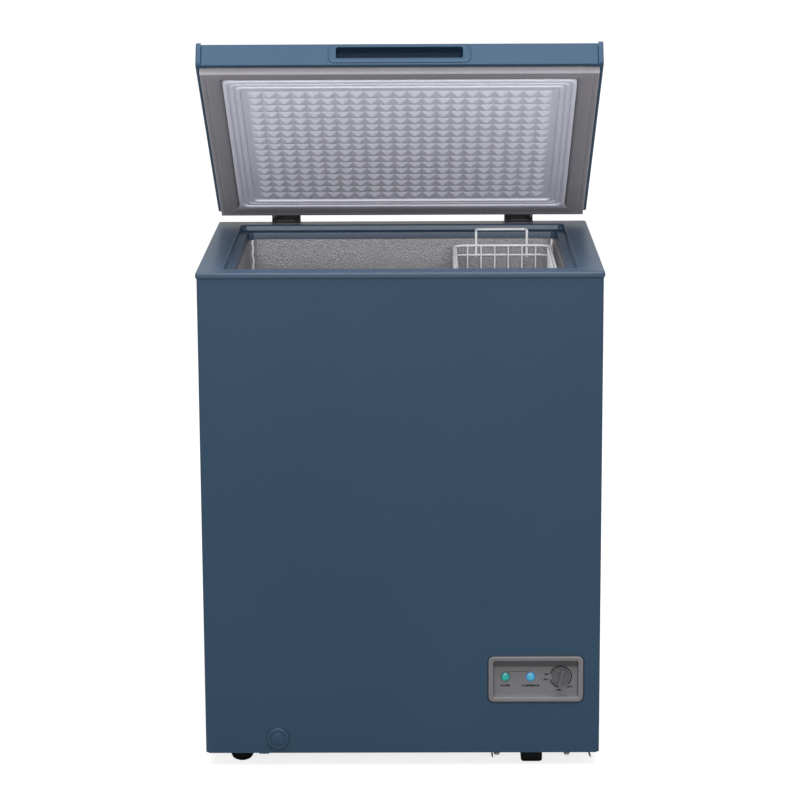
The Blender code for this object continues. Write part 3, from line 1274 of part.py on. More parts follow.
def make_lid_trims(paint, lid):
    """Moulded end trims along both sides of the lid, standing a little above its skin."""
    inner = LID_HALF_X + GAP
    outer = inner + TRIM_WIDTH
    low = RIM_TOP + LID_BOTTOM
    high = RIM_TOP + LID_TOP + TRIM_PROUD
    front = LID_FRONT - GAP
    back = LID_BACK + TRIM_END
    edge = 0.0012
    for name, side in (("lid_trim_left", -1), ("lid_trim_right", 1)):
        rings = []
        for x, inset in ((inner, 0.0), (outer - edge, 0.0), (outer, edge)):
            outline = rounded_rectangle(front + inset, back - inset, low + inset, high - inset, TRIM_CORNER)
            rings.append([Vector((side * x, y, z)) for y, z in outline])
        add_part(name, ring_body(rings), paint, lid)


def make_handle(paint, lid):
    """Handle insert in the lid's front: a rounded surround and a finger pocket."""
    face = LID_FRONT - HANDLE_PROUD
    middle = RIM_TOP + (HANDLE_LOW + HANDLE_HIGH) / 2
    pocket = RIM_TOP + (POCKET_LOW + POCKET_HIGH) / 2
    height = POCKET_HIGH - POCKET_LOW
    width = 2 * POCKET_HALF_X
    edge = 0.0004
    rings = [front_ring(0, pocket, width, height, POCKET_CORNER, face + POCKET_DEPTH),
             front_ring(0, pocket, width, height, POCKET_CORNER, face),
             front_ring(0, middle, 2 * HANDLE_HALF_X - 2 * edge, HANDLE_HIGH - HANDLE_LOW - 2 * edge,
                        HANDLE_CORNER - edge, face),
             front_ring(0, middle, 2 * HANDLE_HALF_X, HANDLE_HIGH - HANDLE_LOW, HANDLE_CORNER, LID_FRONT - GAP),
             front_ring(0, pocket, width + 2 * POCKET_WALL, height + 2 * POCKET_WALL, POCKET_CORNER,
                        LID_FRONT - GAP),
             front_ring(0, pocket, width + 2 * POCKET_WALL, height + 2 * POCKET_WALL, POCKET_CORNER,
                        face + POCKET_DEPTH + POCKET_WALL)]
    return add_part("lid_handle_insert", ring_body(rings), paint, lid)


def make_lid_foam(foam_material, lid):
    """Foam core of the lid, filling its skin and the moulded liner."""
    inset = LID_SHEET + GAP
    low = LID_LINER_LEVEL + LID_LINER_WALL + GAP
    top = LID_TOP - LID_SHEET - GAP
    rings = [lid_ring(inset + LID_EDGE, top, 0.002), lid_ring(inset, top - LID_EDGE, 0.002),
             lid_ring(inset, low, 0.002), well_ring(-0.004, low, 0.004),
             well_ring(-0.004, FIELD_LEVEL + LID_LINER_WALL + GAP, 0.004)]
    foam = add_part("lid_foam", ring_body(rings), foam_material, lid)
    depth = POCKET_DEPTH + POCKET_WALL + 2 * GAP
    width = POCKET_HALF_X + POCKET_WALL + GAP
    cut(foam, box_body((-width, LID_FRONT - 0.01, RIM_TOP + POCKET_LOW - POCKET_WALL - GAP),
                       (width, LID_FRONT - HANDLE_PROUD + depth, RIM_TOP + POCKET_HIGH + POCKET_WALL + GAP)))
    return foam


def well_ring(grow, rise, radius):
    """Ring of the lid's moulded liner, grown from its well's edge, at a rise above the rim."""
    return plan_ring(WELL_HALF_X + grow, WELL_FRONT - grow, WELL_BACK + grow, radius, RIM_TOP + rise, 2)


def lid_liner_rings():
    """Rings of the moulded liner's visible side, from its hidden flange inward to the field's edge."""
    return [well_ring(LID_LINER_FLANGE, LID_LINER_LEVEL, 0.003), well_ring(0.0, LID_LINER_LEVEL, 0.006),
            well_ring(-0.001, FIELD_LEVEL, 0.006), well_ring(-0.003, RIDGE_LEVEL, 0.007),
            well_ring(-0.0075, RIDGE_LEVEL, 0.007), well_ring(-0.0095, FIELD_LEVEL, 0.008),
            well_ring(-0.0175, FIELD_LEVEL, 0.010), well_ring(-0.0200, RIDGE_LEVEL, 0.010),
            well_ring(-0.0240, RIDGE_LEVEL, 0.010), well_ring(-0.0270, FIELD_LEVEL, 0.010)]


def make_lid_liner(plastic, lid):
    """Moulded liner of the lid: nested ridges round a field of shallow raised pyramids."""
    visible = lid_liner_rings()
    wall = LID_LINER_WALL
    top = LID_LINER_LEVEL + wall
    hidden = [well_ring(LID_LINER_FLANGE, top, 0.003), well_ring(-0.003, top, 0.006),
              well_ring(-0.003, FIELD_LEVEL + wall, 0.006)]
    bm = bmesh.new()
    rows = [[bm.verts.new(point) for point in ring] for ring in reversed(hidden)]
    rows += [[bm.verts.new(point) for point in ring] for ring in visible]
    for low, high in zip(rows, rows[1:]):
        for index, vert in enumerate(low):
            following = (index + 1) % len(low)
            bm.faces.new((vert, low[following], high[following], high[index]))
    bm.faces.new(rows[0])
    field, edge_loop = add_pyramid_field(bm)
    border = [bm.edges.get((vert, rows[-1][(index + 1) % len(rows[-1])])) for index, vert in enumerate(rows[-1])]
    bmesh.ops.triangle_fill(bm, use_beauty=True, use_dissolve=False, edges=border + edge_loop,
                            normal=(0, 0, -1))
    bmesh.ops.poke(bm, faces=field, offset=PYRAMID_HEIGHT, center_mode="MEAN")
    bmesh.ops.recalc_face_normals(bm, faces=bm.faces)
    return add_part("lid_inner_liner", bm, plastic, lid)


def add_pyramid_field(bm):
    """Grid of squares facing down into the tank, with the loop of edges round it."""
    level = RIM_TOP + FIELD_LEVEL
    rows = []
    for row in range(FIELD_ROWS + 1):
        y = FIELD_FRONT + (FIELD_BACK - FIELD_FRONT) * row / FIELD_ROWS
        rows.append([bm.verts.new((-FIELD_HALF_X + 2 * FIELD_HALF_X * column / FIELD_COLUMNS, y, level))
                     for column in range(FIELD_COLUMNS + 1)])
    field = []
    for near, far in zip(rows, rows[1:]):
        for column in range(FIELD_COLUMNS):
            field.append(bm.faces.new((near[column], far[column], far[column + 1], near[column + 1])))
    for face in field:
        face.normal_update()
    edges = {edge for face in field for edge in face.edges}
    return field, [edge for edge in edges if len(edge.link_faces) == 1]


def make_gasket(grey, lid):
    """Magnetic gasket with welded mitred corners, clipped under the lid's edge."""
    top = RIM_TOP + GASKET_LIFT + GASKET_HEIGHT
    low = RIM_TOP + GASKET_LIFT
    waist = 0.0022
    hip = GASKET_HEIGHT * 0.45

    def gasket_ring(grow_out, z):
        """Ring between the gasket's outer edge (0) and its inner edge (1)."""
        inner_x = WELL_HALF_X + WELL_CLEARANCE
        inner_front = WELL_FRONT - WELL_CLEARANCE
        inner_back = WELL_BACK + WELL_CLEARANCE
        half_x = GASKET_HALF_X + (inner_x - GASKET_HALF_X) * grow_out
        front = GASKET_FRONT + (inner_front - GASKET_FRONT) * grow_out
        back = GASKET_BACK + (inner_back - GASKET_BACK) * grow_out
        return [Vector((-half_x, front, z)), Vector((half_x, front, z)), Vector((half_x, back, z)),
                Vector((-half_x, back, z))]

    waist_share = waist / (GASKET_HALF_X - WELL_HALF_X)
    rings = [gasket_ring(0, low), gasket_ring(0, low + hip * 0.6), gasket_ring(waist_share, low + hip),
             gasket_ring(waist_share, top - 0.003), gasket_ring(0, top - 0.002), gasket_ring(0, top),
             gasket_ring(1, top), gasket_ring(1, low)]
    return add_part("lid_gasket", ring_body(rings, loop=True), grey, lid)


# --- Basket --------------------------------------------------------------------------------------
def make_basket(white, cabinet):
    """Coated wire basket that hangs from the collar's ledge by a hook at each end."""
    half_y = TANK_HALF_Y - BASKET_END_CLEARANCE
    rim = RIM_TOP - BASKET_RIM_DROP
    floor = rim - BASKET_HEIGHT
    wire = BASKET_WIRE
    pivot = add_pivot("basket_pivot", ((BASKET_LEFT + BASKET_RIGHT) / 2, 0, rim), cabinet)
    outline = rounded_rectangle(BASKET_LEFT, BASKET_RIGHT, -half_y, half_y, BASKET_CORNER)
    basket = add_part("storage_basket", plan_prism(outline, floor, rim), white, pivot)
    inner = rounded_rectangle(BASKET_LEFT + wire, BASKET_RIGHT - wire, -half_y + wire, half_y - wire,
                              BASKET_CORNER - wire)
    cut(basket, plan_prism(inner, floor + wire, rim + wire))
    for windows in basket_windows(half_y, floor, rim):
        cut(basket, boxes_body(windows))
    ledge = LEDGE_TOP + GAP
    reach = COLLAR_HALF_Y - LEDGE_INSET + HOOK_REACH
    middle = (BASKET_LEFT + BASKET_RIGHT) / 2
    for side in (-1, 1):
        riser = (half_y - HOOK_WIRE, half_y)
        arm = (half_y - HOOK_WIRE, reach)
        for (near, far), low, high in ((riser, rim - HOOK_WIRE, ledge + HOOK_WIRE), (arm, ledge, ledge + HOOK_WIRE)):
            weld(basket, box_body((middle - HOOK_WIDTH / 2, min(side * near, side * far), low),
                                  (middle + HOOK_WIDTH / 2, max(side * near, side * far), high)))
    return basket


def basket_windows(half_y, floor, rim):
    """Openings between the basket's wires: through its sides, through its ends and through its floor."""
    wire = BASKET_WIRE
    over = 0.010
    rails = spans(floor + wire, rim, BASKET_RAILS, wire)
    long_bars = spans(-half_y + BASKET_CORNER, half_y - BASKET_CORNER + wire, BASKET_LONG_BARS, wire)
    short_bars = spans(BASKET_LEFT + BASKET_CORNER, BASKET_RIGHT - BASKET_CORNER + wire, BASKET_SHORT_BARS, wire)
    sides = [((BASKET_LEFT - over, low, low_z), (BASKET_RIGHT + over, high, high_z))
             for low_z, high_z in rails for low, high in long_bars]
    ends = [((low, -half_y - over, low_z), (high, half_y + over, high_z))
            for low_z, high_z in rails for low, high in short_bars]
    floor_windows = [((low, low_y, floor - over), (high, high_y, floor + 2 * wire))
                     for low_y, high_y in long_bars for low, high in short_bars]
    return sides, ends, floor_windows


def spans(start, end, count, bar):
    """Equal open spans between start and end, each followed by a bar."""
    pitch = (end - start) / count
    return [(start + number * pitch, start + (number + 1) * pitch - bar) for number in range(count)]


# --- Assembly ------------------------------------------------------------------------------------
def clear_scene():
    """Remove every object that the file opened with."""
    for item in list(bpy.data.objects):
        bpy.data.objects.remove(item, do_unlink=True)


def build_freezer():
    """Build every piece of the freezer and swing the lid open."""
    clear_scene()
    paint = make_material("slate_blue_paint", (54, 77, 97), 0.42)
    lid_paint = make_material("lid_blue_paint", (66, 92, 114), 0.40)
    steel = make_material("zinc_plated_steel", (150, 152, 155), 0.38, 0.9)
    aluminium = make_material("embossed_aluminium", (168, 166, 170), 0.35, 0.9)
    foam = make_material("polyurethane_foam", (222, 205, 150), 0.95)
    copper = make_material("copper_tube", (172, 108, 78), 0.30, 1.0)
    black = make_material("black_enamel", (14, 15, 17), 0.38)
    rubber = make_material("black_rubber", (10, 11, 13), 0.80)
    grey = make_material("panel_grey_plastic", (104, 104, 106), 0.50)
    knob_grey = make_material("knob_grey_plastic", (76, 75, 80), 0.42)
    gasket_grey = make_material("gasket_grey_vinyl", (128, 127, 132), 0.62)
    liner_grey = make_material("lid_liner_grey", (164, 164, 174), 0.38)
    white = make_material("white_coating", (228, 229, 230), 0.35)
    green_lens = make_material("green_lens", (35, 154, 149), 0.20)
    blue_lens = make_material("blue_lens", (60, 162, 189), 0.20)

    origin = add_pivot("freezer_origin", (0, -ORIGIN_Y, 0))
    cabinet = add_pivot("cabinet_pivot", (0, 0, 0), origin)
    lid = add_pivot("lid_pivot", (0, HINGE_Y, hinge_height()), cabinet)

    make_outer_wrap(paint, cabinet)
    make_back_panel(steel, cabinet)
    make_bottom_panel(steel, cabinet)
    make_bay_panel(steel, cabinet)
    make_rim_collar(paint, cabinet)
    make_inner_liner(aluminium, cabinet)
    make_foam(foam, cabinet)
    make_evaporator(aluminium, cabinet)
    make_condenser(steel, cabinet)
    make_filter_drier(copper, cabinet)
    make_drier_line(copper, cabinet)
    make_capillary(copper, cabinet)
    make_suction_line(copper, cabinet)
    make_discharge_line(copper, cabinet)
    make_base_plate(steel, cabinet)
    make_compressor_shells(black, cabinet)
    make_compressor_mounts(black, rubber, steel, cabinet)
    make_relay_box(black, cabinet)
    make_rear_cover(steel, cabinet)
    make_cord_gland(rubber, cabinet)
    make_side_vent(paint, cabinet)
    make_control_bezel(grey, cabinet)
    make_lamp("power_lamp", POWER_LAMP_X, green_lens, cabinet)
    make_lamp("run_lamp", RUN_LAMP_X, blue_lens, cabinet)
    make_thermostat(black, copper, cabinet)
    make_knob(knob_grey, cabinet)
    make_drain(white, paint, cabinet)
    make_feet(rubber, cabinet)
    make_basket(white, cabinet)
    make_hinges(black, steel, cabinet, lid)
    make_lid_panel(lid_paint, lid)
    make_lid_trims(lid_paint, lid)
    make_handle(lid_paint, lid)
    make_lid_foam(foam, lid)
    make_lid_liner(liner_grey, lid)
    make_gasket(gasket_grey, lid)
    lid.rotation_euler = (-LID_OPEN, 0, 0)


build_freezer()
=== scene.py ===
"""Looks of a compact chest freezer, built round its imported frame.

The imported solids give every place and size. Each sub-assembly below is a class that makes the
pieces which want finer shapes than the solids have, dresses the rest, and says which body each
piece rides on. All lengths are metres.
"""

import json
import logging
import math
from dataclasses import dataclass, field
from enum import Enum
from typing import Callable, Iterable, Sequence

import bmesh
import bpy
from mathutils import Matrix, Vector


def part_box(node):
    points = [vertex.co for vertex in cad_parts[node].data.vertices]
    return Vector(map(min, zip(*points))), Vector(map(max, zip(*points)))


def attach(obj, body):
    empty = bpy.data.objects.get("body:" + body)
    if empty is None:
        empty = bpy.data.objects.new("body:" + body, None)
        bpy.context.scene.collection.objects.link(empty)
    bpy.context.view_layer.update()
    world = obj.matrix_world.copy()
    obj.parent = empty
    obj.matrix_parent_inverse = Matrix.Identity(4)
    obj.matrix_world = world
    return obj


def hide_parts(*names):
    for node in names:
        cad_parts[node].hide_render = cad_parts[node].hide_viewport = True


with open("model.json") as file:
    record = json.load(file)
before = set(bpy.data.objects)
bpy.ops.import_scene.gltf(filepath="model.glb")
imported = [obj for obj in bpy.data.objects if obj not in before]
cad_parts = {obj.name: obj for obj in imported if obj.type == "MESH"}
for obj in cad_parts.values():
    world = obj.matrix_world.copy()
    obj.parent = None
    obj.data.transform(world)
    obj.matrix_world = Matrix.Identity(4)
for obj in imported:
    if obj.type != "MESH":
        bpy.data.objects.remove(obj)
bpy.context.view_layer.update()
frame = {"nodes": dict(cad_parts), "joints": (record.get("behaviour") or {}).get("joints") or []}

LOG = logging.getLogger("freezer")

Colour = tuple[float, float, float]
Corner = tuple[float, float, float]
Pair = tuple[float, float]
Ring = list[Vector]
Socket = bpy.types.NodeSocket
Sockets = bpy.types.bpy_prop_collection
Outputs = dict[str, Socket]

PLATE_GAP = 0.0003  # between the back sheet and a hinge bracket's plate
PLATE = 0.002  # thickness of that plate
ARC_STEPS = 5  # segments in a rounded corner
RING_STEPS = 8  # segments in each corner of a moulding's rings
CREASE = 32.0  # angle in degrees above which an edge stays sharp
MERGE = 2e-6  # distance within which points become one
TINY = 1e-6
SIDES = (("left", -1), ("right", 1))


# --- Names ---------------------------------------------------------------------------------------
class Body(Enum):
    """Bodies of the frame that pieces ride on."""

    CABINET = "cabinet"
    LID = "lid"
    KNOB = "thermostat_knob_body"
    DRAIN_CAP = "drain_cap_body"
    DRAIN_PLUG = "drain_plug_body"
    BASKET = "storage_basket_body"


class Slot(Enum):
    """Material slots of the record."""

    CABINET_PAINT = "cabinet_paint"
    LID_PAINT = "lid_paint"
    ZINC = "zinc_steel"
    ALUMINIUM = "liner_aluminium"
    FOAM = "foam"
    COPPER = "copper"
    ENAMEL = "black_enamel"
    RUBBER = "rubber"
    PANEL = "panel_grey"
    KNOB = "knob_grey"
    GASKET = "gasket_grey"
    LID_LINER = "lid_liner_grey"
    WHITE = "white_coating"
    GREEN = "green_lens"
    BLUE = "blue_lens"


class Facing(Enum):
    """Direction that a flat outline or a turned profile looks along."""

    FRONT = "front"
    BACK = "back"
    UP = "up"


AXES: dict[Facing, tuple[Vector, Vector, Vector]] = {
    Facing.FRONT: (Vector((1, 0, 0)), Vector((0, 0, 1)), Vector((0, -1, 0))),
    Facing.BACK: (Vector((-1, 0, 0)), Vector((0, 0, 1)), Vector((0, 1, 0))),
    Facing.UP: (Vector((1, 0, 0)), Vector((0, 1, 0)), Vector((0, 0, 1))),
}


# --- Small helpers -------------------------------------------------------------------------------
def linear(levels: Sequence[float]) -> Colour:
    """Turns display levels of 0 to 255 into linear light.

    Args:
        levels: Red, green and blue levels.

    Returns:
        The colour in linear light.
    """
    shares = [level / 255 for level in levels]
    return tuple(share / 12.92 if share <= 0.04045 else ((share + 0.055) / 1.055) ** 2.4 for share in shares)


def lerp(low: float, high: float, share: float) -> float:
    """Value a share of the way from low to high."""
    return low + (high - low) * share


def middle(low: Vector, high: Vector, **fixed: float) -> Vector:
    """Middle of a box, with x, y or z replaced where one is given."""
    return Vector([fixed.get(axis, (low[index] + high[index]) / 2) for index, axis in enumerate("xyz")])


def joint_row(name: str) -> dict:
    """Facts of one joint of the frame."""
    return next(row for row in frame["joints"] if row["name"] == name)


def eased(corners: Sequence[Corner], closed: bool = False, steps: int = ARC_STEPS) -> list[Pair]:
    """Rounds the corners of a flat line.

    Args:
        corners: Points as (u, v, radius); a radius of 0 keeps the corner sharp.
        closed: True where the last point joins the first.
        steps: Segments in each rounded corner.

    Returns:
        The points of the rounded line.
    """
    points: list[Pair] = []
    count = len(corners)
    for index, (u, v, radius) in enumerate(corners):
        at_end = not closed and index in (0, count - 1)
        if radius <= 0 or at_end:
            points.append((u, v))
            continue
        here = Vector((u, v))
        before = Vector(corners[index - 1][:2]) - here
        after = Vector(corners[(index + 1) % count][:2]) - here
        one, two = before.normalized(), after.normalized()
        half = one.angle(two) / 2
        reach = min(radius / math.tan(half), before.length * 0.49, after.length * 0.49)
        bow = reach * math.tan(half)
        centre = here + (one + two).normalized() * (bow / math.sin(half))
        start = (here + one * reach) - centre
        end = (here + two * reach) - centre
        turn = start.angle_signed(end)
        for step in range(steps + 1):
            swept = start.copy()
            swept.rotate(Matrix.Rotation(-turn * step / steps, 2))
            points.append((centre.x + swept.x, centre.y + swept.y))
    return points


def rounded_box(low: Pair, high: Pair, radius: float, steps: int = ARC_STEPS) -> list[Pair]:
    """Outline of a rectangle with rounded corners, with the same number of points for any radius.

    Args:
        low: Lowest corner.
        high: Highest corner.
        radius: Corner radius.
        steps: Segments in each corner.

    Returns:
        The outline's points, counter-clockwise.
    """
    limit = max(1e-5, min(radius, (high[0] - low[0]) / 2, (high[1] - low[1]) / 2))
    centres = ((high[0] - limit, low[1] + limit, -90), (high[0] - limit, high[1] - limit, 0),
               (low[0] + limit, high[1] - limit, 90), (low[0] + limit, low[1] + limit, 180))
    points = []
    for u, v, start in centres:
        for step in range(steps + 1):
            angle = math.radians(start + 90 * step / steps)
            points.append((u + limit * math.cos(angle), v + limit * math.sin(angle)))
    return points


def plan_ring(low: Pair, high: Pair, radius: float, z: float, steps: int = ARC_STEPS) -> Ring:
    """Level ring with rounded corners at height z."""
    return [Vector((x, y, z)) for x, y in rounded_box(low, high, radius, steps)]


def plan_rings(low: Vector, high: Vector, rows: Iterable[Corner], steps: int = RING_STEPS) -> list[Ring]:
    """Level rings in a box, one for each inset, corner radius and height."""
    return [plan_ring((low.x + inset, low.y + inset), (high.x - inset, high.y - inset), radius, z, steps)
            for inset, radius, z in rows]


def front_rings(low: Vector, high: Vector, rows: Iterable[Corner]) -> list[Ring]:
    """Upright rings in a box that face the front, one for each inset, corner radius and depth."""
    return [[Vector((x, y, z)) for x, z in rounded_box((low.x + inset, low.z + inset),
                                                       (high.x - inset, high.z - inset), radius, RING_STEPS)]
            for inset, radius, y in rows]


def arc(centre: Pair, radius: float, start: float, end: float, steps: int) -> list[Pair]:
    """Points of an arc, with angles in degrees."""
    angles = [math.radians(lerp(start, end, step / steps)) for step in range(steps + 1)]
    return [(centre[0] + radius * math.cos(a), centre[1] + radius * math.sin(a)) for a in angles]


def bent(corners: Sequence[Vector], radius: float, steps: int = ARC_STEPS, closed: bool = False) -> Ring:
    """Path through corners in space, with each corner rounded.

    Args:
        corners: Corner points.
        radius: Bend radius on the path.
        steps: Segments in each bend.
        closed: True where the last corner joins the first.

    Returns:
        The path's points.
    """
    path: Ring = []
    count = len(corners)
    for index, here in enumerate(corners):
        if not closed and index in (0, count - 1):
            path.append(here.copy())
            continue
        before = corners[index - 1] - here
        after = corners[(index + 1) % count] - here
        one, two = before.normalized(), after.normalized()
        angle = one.angle(two)
        if angle > math.pi - 1e-3:
            path.append(here.copy())
            continue
        reach = min(radius / math.tan(angle / 2), before.length * 0.48, after.length * 0.48)
        start, end = here + one * reach, here + two * reach
        bow = reach * math.tan(angle / 2)
        centre = here + (one + two).normalized() * (bow / math.sin(angle / 2))
        for step in range(steps + 1):
            share = step / steps
            spoke = (start - centre).normalized().slerp((end - centre).normalized(), share)
            path.append(centre + spoke * bow)
    return path


# --- Mesh making ---------------------------------------------------------------------------------
class Form:
    """A mesh while it is being made, in the frame's own metres."""

    def __init__(self) -> None:
        """Starts an empty mesh."""
        self.mesh = bmesh.new()
        self.mark = 0

    def face(self, verts: Sequence[bmesh.types.BMVert]) -> None:
        """Adds one face with the finish that is set, unless it has collapsed."""
        distinct = list(dict.fromkeys(verts))
        if len(distinct) > 2:
            self.mesh.faces.new(distinct).material_index = self.mark

    def skin(self, rings: Sequence[Ring], loop: bool = False, caps: bool = True) -> None:
        """Joins rings of equal length with quads.

        Args:
            rings: Rings in order.
            loop: True where the last ring joins the first.
            caps: True to close the first and the last ring.
        """
        rows = [[self.mesh.verts.new(point) for point in ring] for ring in rings]
        pairs = list(zip(rows, rows[1:]))
        if loop:
            pairs.append((rows[-1], rows[0]))
        for near, far in pairs:
            for index, vert in enumerate(near):
                nxt = (index + 1) % len(near)
                self.face((vert, near[nxt], far[nxt], far[index]))
        if caps and not loop:
            self.face(rows[0])
            self.face(list(reversed(rows[-1])))

    @staticmethod
    def circle(centre: Vector, across: Vector, upward: Vector, radius: float, steps: int) -> Ring:
        """Points of a circle round a centre, in the plane of two directions."""
        spin = [math.tau * step / steps for step in range(steps)]
        return [centre + (across * math.cos(a) + upward * math.sin(a)) * radius for a in spin]

    def lathe(self, profile: Sequence[Pair], centre: Vector, facing: Facing, steps: int = 40) -> None:
        """Turns a profile round an axis.

        Args:
            profile: Points as (radius, distance along the axis).
            centre: Point on the axis where the distance is 0.
            facing: Direction of the axis.
            steps: Segments round the axis.
        """
        across, upward, along = AXES[facing]
        self.skin([self.circle(centre + along * reach, across, upward, max(radius, TINY), steps)
                   for radius, reach in profile])

    def tube(self, path: Ring, radius: float, sides: int = 10, closed: bool = False) -> None:
        """Sweeps a circle along a path.

        Args:
            path: Points of the path.
            radius: Radius of the tube.
            sides: Segments round the tube.
            closed: True where the path's end joins its start.
        """
        count = len(path)
        normal = Vector((0.0, 0.0, 0.0))
        rings = []
        for index, point in enumerate(path):
            after = path[(index + 1) % count if closed else min(index + 1, count - 1)]
            before = path[index - 1 if closed else max(index - 1, 0)]
            tangent = (after - before).normalized()
            if index == 0:
                normal = tangent.orthogonal().normalized()
            normal = (normal - tangent * normal.dot(tangent)).normalized()
            rings.append(self.circle(point, normal, tangent.cross(normal), radius, sides))
        if closed:
            offset = self.offset(rings[-1], rings[0])
            rings.append([rings[0][(side - offset) % sides] for side in range(sides)])
        self.skin(rings, caps=not closed)

    @staticmethod
    def offset(last: Ring, first: Ring) -> int:
        """Number of steps that the first ring must turn to meet the last one."""
        sides = len(last)
        return min(range(sides), key=lambda turn: sum(
            (last[side] - first[(side - turn) % sides]).length for side in range(sides)))

    def slab(self, outline: Sequence[Pair], centre: Vector, facing: Facing, low: float, high: float,
             edge: float = 0.0) -> None:
        """Raises a flat outline into a slab whose far edge is rounded.

        Args:
            outline: Points in the plane, round the centre.
            centre: Origin of the plane.
            facing: Direction that the slab rises in.
            low: Near level along that direction.
            high: Far level.
            edge: Radius of the far edge.
        """
        across, upward, along = AXES[facing]
        middle_u = sum(u for u, _ in outline) / len(outline)
        middle_v = sum(v for _, v in outline) / len(outline)
        reach = max(math.hypot(u - middle_u, v - middle_v) for u, v in outline)
        levels = [(0.0, low), (0.0, high - edge)]
        if edge > 0:
            levels += [(edge * (1 - math.cos(a)), high - edge + edge * math.sin(a))
                       for a in (math.radians(30), math.radians(60), math.radians(90))]
        rings = []
        for inset, level in levels:
            scale = 1 - inset / reach
            rings.append([centre + across * (middle_u + (u - middle_u) * scale)
                          + upward * (middle_v + (v - middle_v) * scale) + along * level for u, v in outline])
        self.skin(rings)

    def block(self, low: Sequence[float], high: Sequence[float], edge: float) -> None:
        """Adds a box whose edges are all rounded a little.

        Args:
            low: Lowest corner.
            high: Highest corner.
            edge: Radius of the edges.
        """
        part = bmesh.new()
        bmesh.ops.create_cube(part, size=1.0)
        for vert in part.verts:
            vert.co = Vector([lerp(low[axis], high[axis], vert.co[axis] + 0.5) for axis in range(3)])
        bmesh.ops.bevel(part, geom=list(part.edges), offset=edge, segments=2, affect="EDGES", profile=0.6)
        verts = {vert: self.mesh.verts.new(vert.co) for vert in part.verts}
        for made in part.faces:
            self.face([verts[vert] for vert in made.verts])
        part.free()

    def screw(self, centre: Vector, facing: Facing, radius: float, height: float) -> None:
        """Adds a domed screw head with a cross-shaped recess.

        Args:
            centre: Middle of the head's seat.
            facing: Direction that the head faces.
            radius: Radius of the head.
            height: Height of the head.
        """
        across, upward, along = AXES[facing]
        steps = 32
        slot, slot_reach, slot_depth = radius * 0.13, 0.56, height * 0.55
        seat = 0.35  # share of the height that stands upright before the dome
        rings = [self.circle(centre, across, upward, radius, steps)]
        for share in (1.0, 0.9, 0.72, 0.60, 0.52, 0.34, 0.2, 0.1):
            ring = []
            for step in range(steps):
                angle = math.tau * (step + 0.5) / steps
                u, v = share * radius * math.cos(angle), share * radius * math.sin(angle)
                level = height * (seat + (1 - seat) * math.sqrt(max(0.0, 1 - share ** 2)))
                if min(abs(u), abs(v)) < slot and share < slot_reach:
                    level -= slot_depth
                ring.append(centre + across * u + upward * v + along * level)
            rings.append(ring)
        self.skin(rings)

    def turned(self, matrix: Matrix) -> "Form":
        """Moves every point by a matrix and gives the form back."""
        bmesh.ops.transform(self.mesh, matrix=matrix, verts=self.mesh.verts)
        return self

    def object(self, name: str, materials: Sequence[bpy.types.Material],
               crease: float = CREASE) -> bpy.types.Object:
        """Turns the form into an object of the scene.

        Args:
            name: Name of the piece.
            materials: Finishes, in the order of the marks.
            crease: Angle in degrees above which an edge stays sharp.

        Returns:
            The new object.
        """
        bmesh.ops.remove_doubles(self.mesh, verts=self.mesh.verts, dist=MERGE)
        bmesh.ops.dissolve_degenerate(self.mesh, edges=self.mesh.edges, dist=1e-7)
        bmesh.ops.recalc_face_normals(self.mesh, faces=self.mesh.faces)
        data = bpy.data.meshes.new(name)
        self.mesh.to_mesh(data)
        self.mesh.free()
        for material in materials:
            data.materials.append(material)
        data.shade_smooth()
        data.set_sharp_from_angle(angle=math.radians(crease))
        made = bpy.data.objects.new(name, data)
        bpy.context.scene.collection.objects.link(made)
        return made


